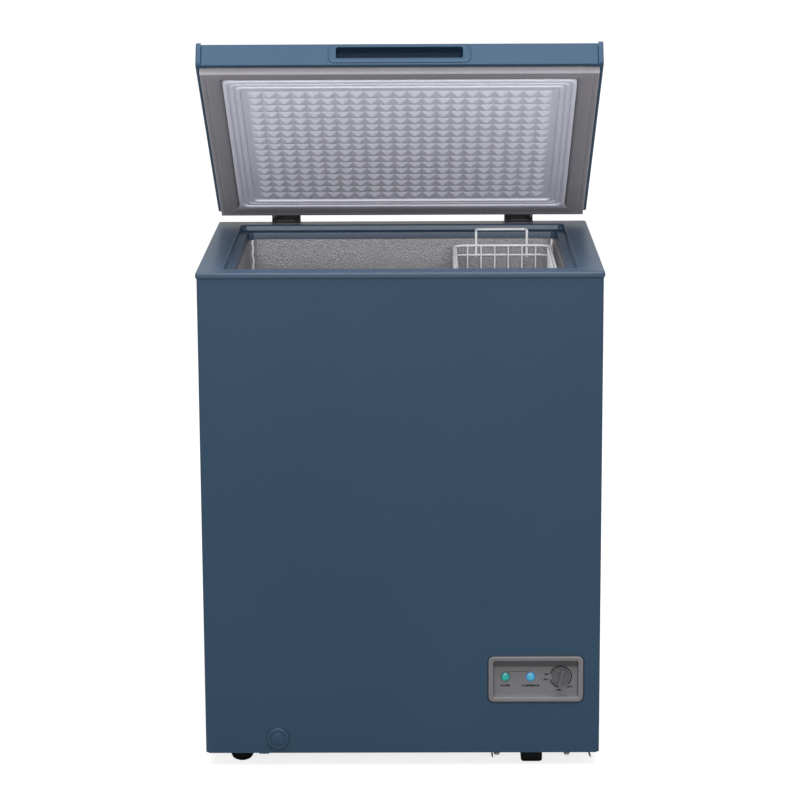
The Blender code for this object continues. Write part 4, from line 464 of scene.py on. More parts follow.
# --- Shader nodes --------------------------------------------------------------------------------
class Graph:
    """Adds and links the nodes of one tree."""

    def __init__(self, tree: bpy.types.NodeTree) -> None:
        """Takes the tree to fill."""
        self.tree = tree

    def feed(self, socket: Socket, value: object) -> None:
        """Links a value into a socket, or sets it there when it is a plain number, vector or colour."""
        if isinstance(value, bpy.types.NodeSocket):
            self.tree.links.new(value, socket)
        elif socket.type == "RGBA":
            socket.default_value = (*value, 1.0)
        else:
            socket.default_value = value

    def add(self, kind: str, inputs: dict | None = None, **settings: object) -> bpy.types.Node:
        """Adds a node.

        Args:
            kind: Node type, without the ShaderNode prefix where it has one.
            inputs: Values or sockets for its inputs, by name or number.
            settings: Properties of the node.

        Returns:
            The node.
        """
        node = self.tree.nodes.new(kind if kind.startswith("NodeGroup") else "ShaderNode" + kind)
        for key, value in settings.items():
            setattr(node, key, value)
        for key, value in (inputs or {}).items():
            self.feed(node.inputs[key], value)
        return node

    def math(self, operation: str, first: object, second: object = 0.0, clamp: bool = False) -> Socket:
        """Adds a Math node and gives its value."""
        return self.add("Math", {0: first, 1: second}, operation=operation, use_clamp=clamp).outputs[0]

    def vector(self, operation: str, first: object, second: object) -> bpy.types.Node:
        """Adds a Vector Math node."""
        return self.add("VectorMath", {0: first, 1: second}, operation=operation)

    def spread(self, value: object, low: float, high: float, to_low: float = 0.0,
               to_high: float = 1.0) -> Socket:
        """Maps a value from one range to another, smoothly and clamped."""
        values = {"Value": value, "From Min": low, "From Max": high, "To Min": to_low, "To Max": to_high}
        return self.add("MapRange", values, interpolation_type="SMOOTHSTEP", clamp=True).outputs[0]

    def mix(self, share: object, first: object, second: object) -> Socket:
        """Mixes two colours by a share."""
        return self.add("Mix", {0: share, 6: first, 7: second}, data_type="RGBA").outputs[2]

    def noise(self, place: object, scale: object, detail: float = 2.0, roughness: float = 0.5) -> Socket:
        """Adds a noise texture and gives its value."""
        values = {"Vector": place, "Scale": scale, "Detail": detail, "Roughness": roughness}
        return self.add("TexNoise", values).outputs["Fac"]

    def cells(self, place: object, scale: float, **settings: object) -> bpy.types.Node:
        """Adds a cell texture."""
        return self.add("TexVoronoi", {"Vector": place, "Scale": scale}, **settings)


class Effect(Enum):
    """Surface effects that several finishes share."""

    GRAIN = "fine_grain"
    EDGE = "edge_rub"
    DUST = "settled_dust"
    STREAK = "drawn_streaks"
    SHADE = "broad_variation"


class Effects:
    """Node groups of the shared effects, each built once."""

    def __init__(self) -> None:
        """Builds every group from its recipe and the defaults of its inputs."""
        recipes = {
            Effect.GRAIN: (self.grain, {"Scale": 900.0, "Coarse": 0.2}),
            Effect.EDGE: (self.edge, {"Radius": 0.0015, "Gain": 4.0}),
            Effect.DUST: (self.dust, {"Amount": 0.1}),
            Effect.STREAK: (self.streak, {"Stretch": (1.0, 1.0, 1.0), "Scale": 300.0}),
            Effect.SHADE: (self.shade, {"Scale": 3.0}),
        }
        self.groups = {effect: self.group(effect, *row) for effect, row in recipes.items()}

    @staticmethod
    def group(effect: Effect, recipe: Callable[[Graph, Sockets], Outputs],
              defaults: dict) -> bpy.types.NodeTree:
        """Builds one group.

        Args:
            effect: Effect that the group makes.
            recipe: Fills the group's graph from its inputs and gives its outputs.
            defaults: Default of each input besides the place.

        Returns:
            The group.
        """
        tree = bpy.data.node_groups.new(effect.value, "ShaderNodeTree")
        for name, default in {"Place": (0.0, 0.0, 0.0), **defaults}.items():
            kind = "NodeSocketVector" if isinstance(default, tuple) else "NodeSocketFloat"
            tree.interface.new_socket(name, in_out="INPUT", socket_type=kind).default_value = default
        graph = Graph(tree)
        made = recipe(graph, graph.add("NodeGroupInput").outputs)
        for name in made:
            tree.interface.new_socket(name, in_out="OUTPUT", socket_type="NodeSocketFloat")
        graph.add("NodeGroupOutput", made)
        return tree

    @staticmethod
    def grain(graph: Graph, given: Sockets) -> Outputs:
        """Fine moulded or sprayed grain: a height and a slower mottle.

        Args:
            graph: Graph of the group.
            given: Inputs of the group.

        Returns:
            The group's outputs, by name.
        """
        fine = graph.noise(given["Place"], given["Scale"], 2.0, 0.55)
        coarse = graph.noise(given["Place"], graph.math("MULTIPLY", given["Scale"], given["Coarse"]))
        height = graph.math("ADD", fine, graph.math("MULTIPLY", coarse, 0.6))
        return {"Height": height, "Mottle": graph.spread(coarse, 0.3, 0.7)}

    @staticmethod
    def edge(graph: Graph, given: Sockets) -> Outputs:
        """Mask of outer edges, where hands and cloths have rubbed the surface.

        Args:
            graph: Graph of the group.
            given: Inputs of the group.

        Returns:
            The group's outputs, by name.
        """
        softened = graph.add("Bevel", {"Radius": given["Radius"]}, samples=4)
        dot = graph.vector("DOT_PRODUCT", softened.outputs[0], graph.add("NewGeometry").outputs["Normal"])
        bend = graph.math("SUBTRACT", 1.0, dot.outputs["Value"], clamp=True)
        strong = graph.math("MULTIPLY", bend, given["Gain"], clamp=True)
        broken = graph.spread(graph.noise(given["Place"], 140.0, 3.0), 0.35, 0.65, 0.35)
        return {"Mask": graph.math("MULTIPLY", strong, broken)}

    @staticmethod
    def dust(graph: Graph, given: Sockets) -> Outputs:
        """Mask of faint dust on faces that look up.

        Args:
            graph: Graph of the group.
            given: Inputs of the group.

        Returns:
            The group's outputs, by name.
        """
        split = graph.add("SeparateXYZ", {0: graph.add("NewGeometry").outputs["Normal"]})
        upward = graph.spread(split.outputs["Z"], 0.55, 0.98)
        cloud = graph.spread(graph.noise(given["Place"], 16.0, 5.0, 0.6), 0.35, 0.75, 0.2)
        specks = graph.spread(graph.noise(given["Place"], 700.0, 1.0), 0.55, 0.75, 0.5)
        mask = graph.math("MULTIPLY", graph.math("MULTIPLY", upward, cloud), specks)
        return {"Mask": graph.math("MULTIPLY", mask, given["Amount"])}

    @staticmethod
    def streak(graph: Graph, given: Sockets) -> Outputs:
        """Drawn or rolled streaks along one direction, set by how the place is stretched.

        Args:
            graph: Graph of the group.
            given: Inputs of the group.

        Returns:
            The group's outputs, by name.
        """
        pulled = graph.vector("MULTIPLY", given["Place"], given["Stretch"])
        lines = graph.noise(pulled.outputs[0], given["Scale"], 3.0, 0.6)
        return {"Height": lines, "Patch": graph.spread(graph.noise(given["Place"], 9.0, 4.0), 0.35, 0.65)}

    @staticmethod
    def shade(graph: Graph, given: Sockets) -> Outputs:
        """Slow variation over a whole panel, with faint wiping marks.

        Args:
            graph: Graph of the group.
            given: Inputs of the group.

        Returns:
            The group's outputs, by name.
        """
        slow = graph.noise(given["Place"], given["Scale"], 3.0)
        pulled = graph.vector("MULTIPLY", given["Place"], (1.0, 1.0, 0.16))
        wipe = graph.noise(pulled.outputs[0], 26.0, 4.0, 0.62)
        return {"Slow": graph.spread(slow, 0.3, 0.7), "Wipe": graph.spread(wipe, 0.42, 0.78)}


# --- Finishes ------------------------------------------------------------------------------------
@dataclass
class Bench:
    """A material while a finish is being laid on it.

    Attributes:
        graph: Nodes of the material.
        shader: Its Principled shader.
        place: Place on the object.
        effects: Shared effect groups.
    """

    graph: Graph
    shader: bpy.types.Node
    place: Socket
    effects: Effects

    def effect(self, effect: Effect, **inputs: object) -> Sockets:
        """Puts a shared effect into the material and gives its outputs."""
        values = {"Place": self.place, **inputs}
        return self.graph.add("Group", values, node_tree=self.effects.groups[effect]).outputs

    def over(self, body: object, mask: Socket, share: float, colour: Colour) -> Socket:
        """Lays a colour over the body's where a mask is strong."""
        return self.graph.mix(self.graph.math("MULTIPLY", mask, share), body, colour)

    def away(self, centre: Corner) -> Socket:
        """Distance from a point."""
        return self.graph.vector("DISTANCE", self.place, centre).outputs["Value"]

    def set(self, values: dict[str, object]) -> None:
        """Sets or links inputs of the shader."""
        for name, value in values.items():
            self.graph.feed(self.shader.inputs[name], value)

    def relief(self, height: object, strength: float, depth: float) -> None:
        """Adds a bump of a given depth."""
        bump = self.graph.add("Bump", {"Strength": strength, "Distance": depth, "Height": height})
        self.set({"Normal": bump.outputs[0]})


@dataclass(frozen=True)
class Finish:
    """A finish: what every surface of one material shares.

    Attributes:
        name: Name of the material.
        levels: Display colour, 0 to 255.
        roughness: Middle roughness.
        metallic: Metallic share.
    """

    name: str
    levels: Colour
    roughness: float
    metallic: float = 0.0

    def material(self, effects: Effects) -> bpy.types.Material:
        """Builds the material.

        Args:
            effects: Shared effect groups.

        Returns:
            The material.
        """
        made = bpy.data.materials.new(self.name)
        made.use_nodes = True
        made.node_tree.nodes.clear()
        graph = Graph(made.node_tree)
        shader = graph.add("BsdfPrincipled", {"Metallic": self.metallic})
        graph.add("OutputMaterial", {"Surface": shader.outputs[0]})
        self.dress(Bench(graph, shader, graph.add("TexCoord").outputs["Object"], effects))
        return made

    def tone(self, factor: float, lift: float = 0.0) -> Colour:
        """The finish's colour in linear light, scaled and lifted."""
        return tuple(part * factor + lift for part in linear(self.levels))

    def dress(self, bench: Bench) -> None:
        """Adds what makes this finish its own: colour, roughness and relief."""
        raise NotImplementedError


@dataclass(frozen=True)
class PaintFinish(Finish):
    """Sprayed powder coat with a fine satin skin.

    Attributes:
        edge_gain: How clearly rubbed edges show.
        dust: Amount of dust on faces that look up.
        coat: Weight of the clear layer.
        specular: Specular level.
        peel: Depth of the sprayed texture.
    """

    edge_gain: float = 1.1
    dust: float = 0.10
    coat: float = 0.0
    specular: float = 0.18
    peel: float = 0.00006

    def dress(self, bench: Bench) -> None:
        """Adds mottle, wiping marks, rubbed edges, dust and sprayed texture.

        Args:
            bench: Material that the finish is laid on.
        """
        graph = bench.graph
        grain = bench.effect(Effect.GRAIN, Scale=900.0, Coarse=0.25)
        shade = bench.effect(Effect.SHADE, Scale=2.6)
        edge = bench.effect(Effect.EDGE, Radius=0.0016, Gain=self.edge_gain)["Mask"]
        dust = bench.effect(Effect.DUST, Amount=self.dust)["Mask"]
        body = graph.mix(shade["Slow"], self.tone(0.955), self.tone(1.045))
        body = bench.over(body, grain["Mottle"], 0.35, self.tone(1.12))
        body = bench.over(body, edge, 0.5, self.tone(1.5, 0.03))
        rough = graph.spread(shade["Wipe"], 0.0, 1.0, self.roughness, self.roughness + 0.025)
        bench.set({"Base Color": graph.mix(dust, body, (0.46, 0.45, 0.43)),
                   "Roughness": graph.math("ADD", rough, graph.math("MULTIPLY", dust, 0.6)),
                   "Coat Weight": self.coat, "Coat Roughness": 0.28, "Specular IOR Level": self.specular})
        bench.relief(grain["Height"], 0.5, self.peel)


@dataclass(frozen=True)
class MouldedFinish(Finish):
    """Moulded plastic or vinyl.

    Attributes:
        grain: Scale of the moulded grain.
        depth: Depth of the grain.
        variation: Share of slow colour change.
        specular: Specular level.
        sheen: Sheen weight for soft vinyl and rubber.
        dust: Amount of dust on faces that look up.
        rub: How clearly rubbed edges and wiping marks show.
    """

    grain: float = 1400.0
    depth: float = 0.00004
    variation: float = 0.06
    specular: float = 0.45
    sheen: float = 0.0
    dust: float = 0.05
    rub: float = 0.4

    def dress(self, bench: Bench) -> None:
        """Adds moulded grain, slow variation, softer edges and dust.

        Args:
            bench: Material that the finish is laid on.
        """
        graph = bench.graph
        grain = bench.effect(Effect.GRAIN, Scale=self.grain, Coarse=0.12)
        shade = bench.effect(Effect.SHADE, Scale=11.0)
        edge = bench.effect(Effect.EDGE, Radius=0.0008, Gain=0.9)["Mask"]
        dust = bench.effect(Effect.DUST, Amount=self.dust)["Mask"]
        body = graph.mix(shade["Slow"], self.tone(1 - self.variation), self.tone(1 + self.variation))
        body = bench.over(body, grain["Mottle"], 0.3, self.tone(1.1))
        body = bench.over(body, edge, self.rub, self.tone(1.35, 0.02))
        rough = graph.spread(shade["Wipe"], 0.0, 1.0, self.roughness, self.roughness + self.rub * 0.15)
        bench.set({"Base Color": graph.mix(dust, body, (0.5, 0.49, 0.47)), "Roughness": rough,
                   "Specular IOR Level": self.specular, "Sheen Weight": self.sheen, "Sheen Roughness": 0.5})
        bench.relief(grain["Height"], 0.5, self.depth)


@dataclass(frozen=True)
class GlowPanelFinish(MouldedFinish):
    """Moulded panel with a painted glow round the lamps set in it and a painted shadow under its tray's upper
    edge.

    Attributes:
        lamps: Centre, reach, strength and colour of each lamp's painted halo.
        brow: Point under the tray's upper edge, below which the frame's shadow is painted.
    """

    lamps: tuple[tuple[Corner, float, float, Colour], ...] = ()
    brow: Corner = (0.0, 0.0, 0.0)

    def dress(self, bench: Bench) -> None:
        """Adds the moulded skin, a painted shadow under the brow and a painted glow round each lamp.

        Args:
            bench: Material that the finish is laid on.
        """
        super().dress(bench)
        graph = bench.graph
        split = graph.add("SeparateXYZ", {0: bench.place}).outputs
        # painted shadow: the tray's floor below the brow is darkened in place of the shadow that the frame
        # casts
        shadow_drop = graph.spread(split["Z"], self.brow[2] - 0.0134, self.brow[2] - 0.0104, 0.0, 0.86)
        painted_shadow = graph.math("MULTIPLY", shadow_drop, graph.spread(split["Y"], self.brow[1], self.brow[1] + 0.004))
        skin = bench.shader.inputs["Base Color"].links[0].from_socket
        # painted light: the panel's own surface glows round each lamp, standing in for the lamps' light
        # falling on it
        glow: object = (0.0, 0.0, 0.0)
        for centre, reach, strength, levels in self.lamps:
            halo = graph.math("POWER", graph.spread(bench.away(centre), 0.0, reach, 1.0, 0.0), 1.6)
            glow = graph.mix(halo, glow, tuple(part * strength for part in linear(levels)))
        bench.set({"Base Color": graph.mix(painted_shadow, skin, self.tone(0.26)), "Emission Color": glow,
                   "Emission Strength": 1.0})


@dataclass(frozen=True)
class MetalFinish(Finish):
    """Sheet, drawn or plated metal.

    Attributes:
        stretch: How the streaks are pulled along each axis.
        streaks: Scale of the streaks.
        depth: Depth of the streaks.
        patch: Strength of the spangle or tarnish.
        tarnish: Display colour of the patches.
    """

    stretch: Corner = (1.0, 1.0, 0.04)
    streaks: float = 420.0
    depth: float = 0.00003
    patch: float = 0.35
    tarnish: Colour = (120, 124, 130)

    def dress(self, bench: Bench) -> None:
        """Adds streaks, patches and bright edges.

        Args:
            bench: Material that the finish is laid on.
        """
        graph = bench.graph
        streak = bench.effect(Effect.STREAK, Stretch=self.stretch, Scale=self.streaks)
        edge = bench.effect(Effect.EDGE, Radius=0.0008, Gain=1.4)["Mask"]
        cell = graph.cells(bench.place, 85.0, feature="F1")
        spangle = graph.add("SeparateColor", {0: cell.outputs["Color"]}).outputs[0]
        spangle = graph.spread(spangle, 0.0, 1.0, 0.0, self.patch)
        body = graph.mix(spangle, self.tone(1.0), linear(self.tarnish))
        body = bench.over(body, streak["Patch"], self.patch * 0.6, self.tone(0.72))
        body = bench.over(body, edge, 0.6, self.tone(1.3, 0.02))
        rough = graph.spread(streak["Height"], 0.3, 0.7, self.roughness - 0.06, self.roughness + 0.1)
        bench.set({"Base Color": body, "Roughness": rough})
        bench.relief(streak["Height"], 0.5, self.depth)


@dataclass(frozen=True)
class EmbossedFinish(Finish):
    """Stucco-embossed sheet: a rolled pattern of small uneven pebbles.

    Attributes:
        pebble: Scale of the pebbles.
        depth: Height of the pebbles.
    """

    pebble: float = 260.0
    depth: float = 0.00035

    def dress(self, bench: Bench) -> None:
        """Adds the rolled pebbles, with painted shade in their valleys and a painted highlight on their
        crowns, and a fine rolled grain.

        Args:
            bench: Material that the finish is laid on.
        """
        graph = bench.graph
        warp = graph.add("VectorMath", {0: graph.noise(bench.place, 60.0), "Scale": 0.006}, operation="SCALE")
        shifted = graph.vector("ADD", bench.place, warp.outputs[0])
        cells = graph.cells(shifted.outputs[0], self.pebble, feature="SMOOTH_F1")
        cells.inputs["Smoothness"].default_value = 0.5
        pebble = graph.spread(cells.outputs["Distance"], 0.1, 0.75, 1.0, 0.0)
        grain = bench.effect(Effect.GRAIN, Scale=1800.0, Coarse=0.2)
        shade = bench.effect(Effect.SHADE, Scale=5.0)
        # painted shade and highlight: the valleys between the pebbles are darker and the crowns lighter than
        # the sheet
        body = graph.mix(pebble, self.tone(0.72), self.tone(1.12))
        rough = graph.spread(pebble, 0.0, 1.0, self.roughness + 0.12, self.roughness - 0.04)
        bench.set({"Base Color": bench.over(body, shade["Slow"], 0.3, self.tone(0.85)), "Roughness": rough})
        height = graph.math("ADD", pebble, graph.math("MULTIPLY", grain["Height"], 0.06))
        bench.relief(height, 0.8, self.depth)


@dataclass(frozen=True)
class FoamFinish(Finish):
    """Rigid foam with an open, bubbly skin."""

    def dress(self, bench: Bench) -> None:
        """Adds bubbles and patches of denser skin.

        Args:
            bench: Material that the finish is laid on.
        """
        graph = bench.graph
        cells = graph.cells(bench.place, 520.0, feature="F1")
        bubble = graph.spread(cells.outputs["Distance"], 0.0, 0.6)
        body = graph.mix(bubble, self.tone(0.8), self.tone(1.05))
        slow = bench.effect(Effect.SHADE, Scale=14.0)["Slow"]
        rough = graph.spread(bubble, 0.0, 1.0, self.roughness, self.roughness - 0.1)
        bench.set({"Base Color": bench.over(body, slow, 0.4, self.tone(0.86)), "Roughness": rough})
        bench.relief(bubble, 0.7, 0.0005)


@dataclass(frozen=True)
class LensFinish(Finish):
    """Translucent lamp lens, lit from behind.

    Attributes:
        centre: Middle of the lens.
        radius: Radius of the lens.
        rim_levels: Display colour near its rim.
        strength: Strength of the light.
    """

    centre: Corner = (0.0, 0.0, 0.0)
    radius: float = 0.0055
    rim_levels: Colour = (20, 110, 110)
    strength: float = 1.0

    def dress(self, bench: Bench) -> None:
        """Adds a bright middle that falls off to a deeper rim, with faint rings of the lens.

        Args:
            bench: Material that the finish is laid on.
        """
        graph = bench.graph
        away = bench.away(self.centre)
        rim = graph.spread(away, self.radius * 0.35, self.radius * 1.02)
        lit = graph.mix(rim, linear(self.levels), linear(self.rim_levels))
        grain = bench.effect(Effect.GRAIN, Scale=1500.0, Coarse=0.3)
        lit = bench.over(lit, grain["Mottle"], 0.2, linear(self.rim_levels))
        bench.set({"Base Color": lit, "Emission Color": lit, "Emission Strength": self.strength,
                   "Roughness": graph.spread(rim, 0.0, 1.0, self.roughness, self.roughness + 0.1),
                   "Coat Weight": 0.25, "Coat Roughness": 0.15})
        bench.relief(graph.math("SINE", graph.math("MULTIPLY", away, 5200.0)), 0.3, 0.00005)


@dataclass(frozen=True)
class PrintFinish(Finish):
    """Printed ink, a little broken up."""

    def dress(self, bench: Bench) -> None:
        """Adds slight thinning of the ink.

        Args:
            bench: Material that the finish is laid on.
        """
        graph = bench.graph
        grain = bench.effect(Effect.GRAIN, Scale=2600.0, Coarse=0.4)
        share = graph.math("MULTIPLY", grain["Mottle"], 0.4)
        rough = graph.spread(grain["Height"], 0.4, 1.2, self.roughness, self.roughness + 0.1)
        bench.set({"Base Color": graph.mix(share, self.tone(1.0), self.tone(1.7, 0.01)), "Roughness": rough,
                   "Specular IOR Level": 0.12})


@dataclass(frozen=True)
class FloorFinish(Finish):
    """Plain pale floor that looks bright and throws back only a little light.

    Attributes:
        glow: Strength of the light that only the camera sees.
    """

    glow: float = 0.80

    def dress(self, bench: Bench) -> None:
        """Adds a slow faint change of tone and the glow.

        Args:
            bench: Material that the finish is laid on.
        """
        graph = bench.graph
        seen = graph.add("LightPath").outputs["Is Camera Ray"]
        slow = bench.effect(Effect.SHADE, Scale=0.6)["Slow"]
        low, high, unseen = (0.19, 0.19, 0.19), (0.21, 0.21, 0.21), (0.30, 0.30, 0.30)
        bench.set({"Base Color": graph.mix(seen, unseen, graph.mix(slow, low, high)),
                   "Emission Color": (1.0, 1.0, 1.0), "Roughness": self.roughness, "Specular IOR Level": 0.1,
                   "Emission Strength": graph.math("MULTIPLY", seen, self.glow)})


class Extra(Enum):
    """Finishes that have no slot of their own."""

    INK = "ink"
    SEAL = "seal"
    COLLAR = "collar"
    POCKET = "pocket"
    HINGE = "hinge"
    BRIGHT = "bright"
    SEAM = "seam"


class Wardrobe:
    """Every finish of the freezer, each built once when it is first asked for."""

    def __init__(self, effects: Effects, lamps: dict[Slot, Vector], brow: Vector) -> None:
        """Sets the finishes up.

        Args:
            effects: Shared effect groups.
            lamps: Middle of each lamp, by its slot.
            brow: Point under the upper edge of the panel's tray.
        """
        self.effects = effects
        self.built: dict[Slot | Extra, bpy.types.Material] = {}
        green, blue = tuple(lamps[Slot.GREEN]), tuple(lamps[Slot.BLUE])
        # painted glow on the panel round each lamp: centre, reach, strength and colour
        halos = ((green, 0.0120, 0.05, (20, 150, 140)), (blue, 0.0140, 0.30, (70, 160, 225)))
        self.finishes: dict[Slot | Extra, Finish] = {
            Slot.CABINET_PAINT: PaintFinish("slate_blue_satin", (39, 60, 79), 0.5),
            Slot.LID_PAINT: PaintFinish("slate_blue_satin_lid", (46, 71, 93), 0.48, dust=0.05),
            Slot.ZINC: MetalFinish("zinc_sheet", (150, 153, 158), 0.42, 1.0),
            Slot.ALUMINIUM: EmbossedFinish("stucco_aluminium", (150, 148, 151), 0.42, 0.35, pebble=380.0),
            Slot.FOAM: FoamFinish("rigid_foam", (222, 205, 150), 0.9),
            Slot.COPPER: MetalFinish("drawn_copper", (205, 130, 95), 0.30, 1.0, stretch=(1.0, 1.0, 1.0),
                                     streaks=700.0, tarnish=(120, 74, 58)),
            Slot.ENAMEL: PaintFinish("black_enamel", (9, 10, 13), 0.36, edge_gain=0.4, dust=0.02, coat=0.1),
            Slot.RUBBER: MouldedFinish("matt_rubber", (7, 7, 8), 0.7, specular=0.12, dust=0.06),
            Slot.PANEL: GlowPanelFinish("panel_moulding", (98, 97, 100), 0.55, grain=1700.0, lamps=halos,
                                        brow=tuple(brow)),
            Slot.KNOB: MouldedFinish("knob_moulding", (78, 77, 82), 0.45, grain=1900.0),
            Slot.GASKET: MouldedFinish("soft_vinyl", (130, 127, 133), 0.52, grain=1100.0, sheen=0.08),
            Slot.LID_LINER: MouldedFinish("silvery_sheet", (212, 212, 225), 0.34, grain=900.0, depth=0.00002,
                                          variation=0.02, specular=0.5, rub=0.05),
            Slot.WHITE: MouldedFinish("white_coating", (228, 229, 230), 0.32, grain=800.0, variation=0.03,
                                      specular=0.5),
            Slot.GREEN: LensFinish("green_lens", (24, 142, 132), 0.3, centre=green, radius=0.0080,
                                   rim_levels=(12, 100, 96), strength=0.24),
            Slot.BLUE: LensFinish("blue_lens", (56, 146, 172), 0.3, centre=blue, radius=0.0082,
                                  rim_levels=(54, 122, 168), strength=0.20),
            Extra.INK: PrintFinish("dark_print", (8, 8, 9), 0.6),
            # painted shadow: dark rings laid round the collar, the handle, the bezel and the drain cap in
            # place of the shadow in their gaps
            Extra.SEAL: MouldedFinish("dark_shadow_seal", (22, 30, 40), 0.6, specular=0.3),
            Extra.COLLAR: PaintFinish("slate_blue_moulding", (43, 63, 84), 0.36, dust=0.03, specular=0.35),
            # painted shade: darker copy of the lid paint for the inside of the finger pocket
            Extra.POCKET: PaintFinish("slate_blue_pocket_shade", (24, 42, 60), 0.3, dust=0.0, specular=0.3),
            Extra.HINGE: PaintFinish("hinge_black", (6, 8, 12), 0.4, edge_gain=0.3, dust=0.0, specular=0.10),
            Extra.BRIGHT: MetalFinish("bright_zinc", (196, 198, 202), 0.28, 1.0, stretch=(1.0, 1.0, 1.0),
                                      patch=0.2),
            # painted highlight: near-white for the tank's corner seams, standing in for the glint off the
            # rounded corners
            Extra.SEAM: MouldedFinish("seam_painted_highlight", (226, 227, 230), 0.4, rub=0.1),
        }

    def material(self, kind: Slot | Extra) -> bpy.types.Material:
        """Material of a record slot or of a further finish, built once and kept."""
        if kind not in self.built:
            self.built[kind] = self.finishes[kind].material(self.effects)
        return self.built[kind]


# --- Sub-assemblies ------------------------------------------------------------------------------
@dataclass
class Assembly:
    """A group of pieces that belong together.

    Attributes:
        wardrobe: Finishes to take materials from.
    """

    wardrobe: Wardrobe

    def build(self) -> None:
        """Makes every piece of the group."""
        raise NotImplementedError

    def publish(self, form: Form, name: str, slot: Slot, body: Body, replaces: Iterable[str] = (),
                finishes: Sequence[Slot | Extra] = (), crease: float = CREASE) -> bpy.types.Object:
        """Turns a form into a riding piece with its finish.

        Args:
            form: The finished form.
            name: Name of the piece.
            slot: Record slot that the piece belongs to.
            body: Body that it rides on.
            replaces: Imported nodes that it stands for.
            finishes: Finishes by mark, where they aren't the slot's own.
            crease: Angle above which an edge stays sharp.

        Returns:
            The piece.
        """
        materials = [self.wardrobe.material(kind) for kind in finishes or (slot,)]
        made = form.object(name, materials, crease)
        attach(made, body.value)
        if replaces:
            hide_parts(*replaces)
        LOG.info("%-28s %6d faces on %s", name, len(made.data.polygons), body.value)
        return made


@dataclass
class PackedNodes(Assembly):
    """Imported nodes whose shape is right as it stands."""

    def build(self) -> None:
        """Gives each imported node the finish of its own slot."""
        for name, node in sorted(frame["nodes"].items()):
            given = node.data.materials[0].name.split(".")[0] if node.data.materials else Slot.ZINC.value
            slot = Slot(given)
            node.data.materials.clear()
            node.data.materials.append(self.wardrobe.material(slot))
            LOG.info("%-28s dressed as %s", name, given)


@dataclass
class Rim(Assembly):
    """Collar round the mouth of the cabinet.

    Attributes:
        lip_drop: Depth of the outer lip.
        lip_wall: Thickness of the moulding.
        rim_width: Width from the outer face to the inner step.
        step_drop: Drop from the rim to the ledge.
        ledge_width: Width of the ledge.
        outer_corner: Corner radius outside.
        inner_corner: Corner radius inside.
        hinge_gap: Clearance on each side of a hinge bracket.
    """

    lip_drop: float = 0.008
    lip_wall: float = 0.0017
    rim_width: float = 0.040
    step_drop: float = 0.010
    ledge_width: float = 0.013
    outer_corner: float = 0.005
    inner_corner: float = 0.012
    hinge_gap: float = 0.0005

    def build(self) -> None:
        """Makes the collar as one moulded ring with eased edges."""
        low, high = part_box("rim_collar")
        ledge = self.rim_width + self.ledge_width
        depth = high.z - low.z
        corners = [(self.lip_wall, self.lip_drop, 0), (0.0, self.lip_drop, 0.0005), (0.0, 0.0, 0.0022),
                   (self.rim_width, 0.0, 0.0026), (self.rim_width + 0.0008, self.step_drop, 0.0018),
                   (ledge, self.step_drop + 0.0003, 0.0022), (ledge + 0.0004, depth, 0.0),
                   (ledge - 0.0016, depth, 0.0), (ledge - 0.0016, self.step_drop + 0.0022, 0.0),
                   (self.rim_width - 0.001, self.step_drop + 0.0022, 0.0),
                   (self.rim_width - 0.001, 0.002, 0.0), (self.lip_wall, 0.002, 0.0)]
        form = Form()
        rows = []
        for inset, drop in eased(corners, closed=True, steps=6):
            share = min(1.0, max(0.0, inset / self.rim_width))
            radius = lerp(self.outer_corner, self.inner_corner, share) - (inset if share < 0.1 else 0.0)
            rows.append((inset, max(radius, 0.0008), high.z - drop))
        form.skin(plan_rings(low, high, rows), loop=True)
        self.notch(form)
        self.publish(form, "rim_moulding", Slot.CABINET_PAINT, Body.CABINET, ["rim_collar"],
                     [Extra.COLLAR], crease=38)
        self.shadow_bead()

    def notch(self, form: Form) -> None:
        """Leaves room for the hinges in the back lip by drawing it in where they stand.

        Args:
            form: Form that holds the collar.
        """
        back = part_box("rim_collar")[1].y
        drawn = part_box("back_panel")[1].y - 0.0001
        for side, _ in SIDES:
            low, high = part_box(f"hinge_{side}_bracket")
            for plane, normal in ((low.x - self.hinge_gap, (1, 0, 0)), (high.x + self.hinge_gap, (-1, 0, 0))):
                parts = form.mesh.verts[:] + form.mesh.edges[:] + form.mesh.faces[:]
                bmesh.ops.bisect_plane(form.mesh, geom=parts, plane_co=(plane, 0, 0), plane_no=normal,
                                       dist=TINY)
            for vert in form.mesh.verts:
                inside = low.x - self.hinge_gap - 1e-5 < vert.co.x < high.x + self.hinge_gap + 1e-5
                if inside and drawn < vert.co.y <= back + 1e-4:
                    vert.co.y = drawn

    def shadow_bead(self) -> None:
        """Adds a thin dark ring where the collar sits on the painted wrap: painted shadow under the collar's
        lip.
        """
        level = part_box("rim_collar")[1].z - self.lip_drop
        form = Form()
        rows = [(-out, 0.003, level - drop) for out, drop in
                ((0.0001, 0.0012), (0.0007, 0.0009), (0.0007, 0.0001), (0.0001, 0.0))]
        form.skin(plan_rings(*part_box("outer_wrap"), rows, 6), loop=True)
        self.publish(form, "rim_shadow_line", Slot.RUBBER, Body.CABINET, finishes=[Extra.SEAL])


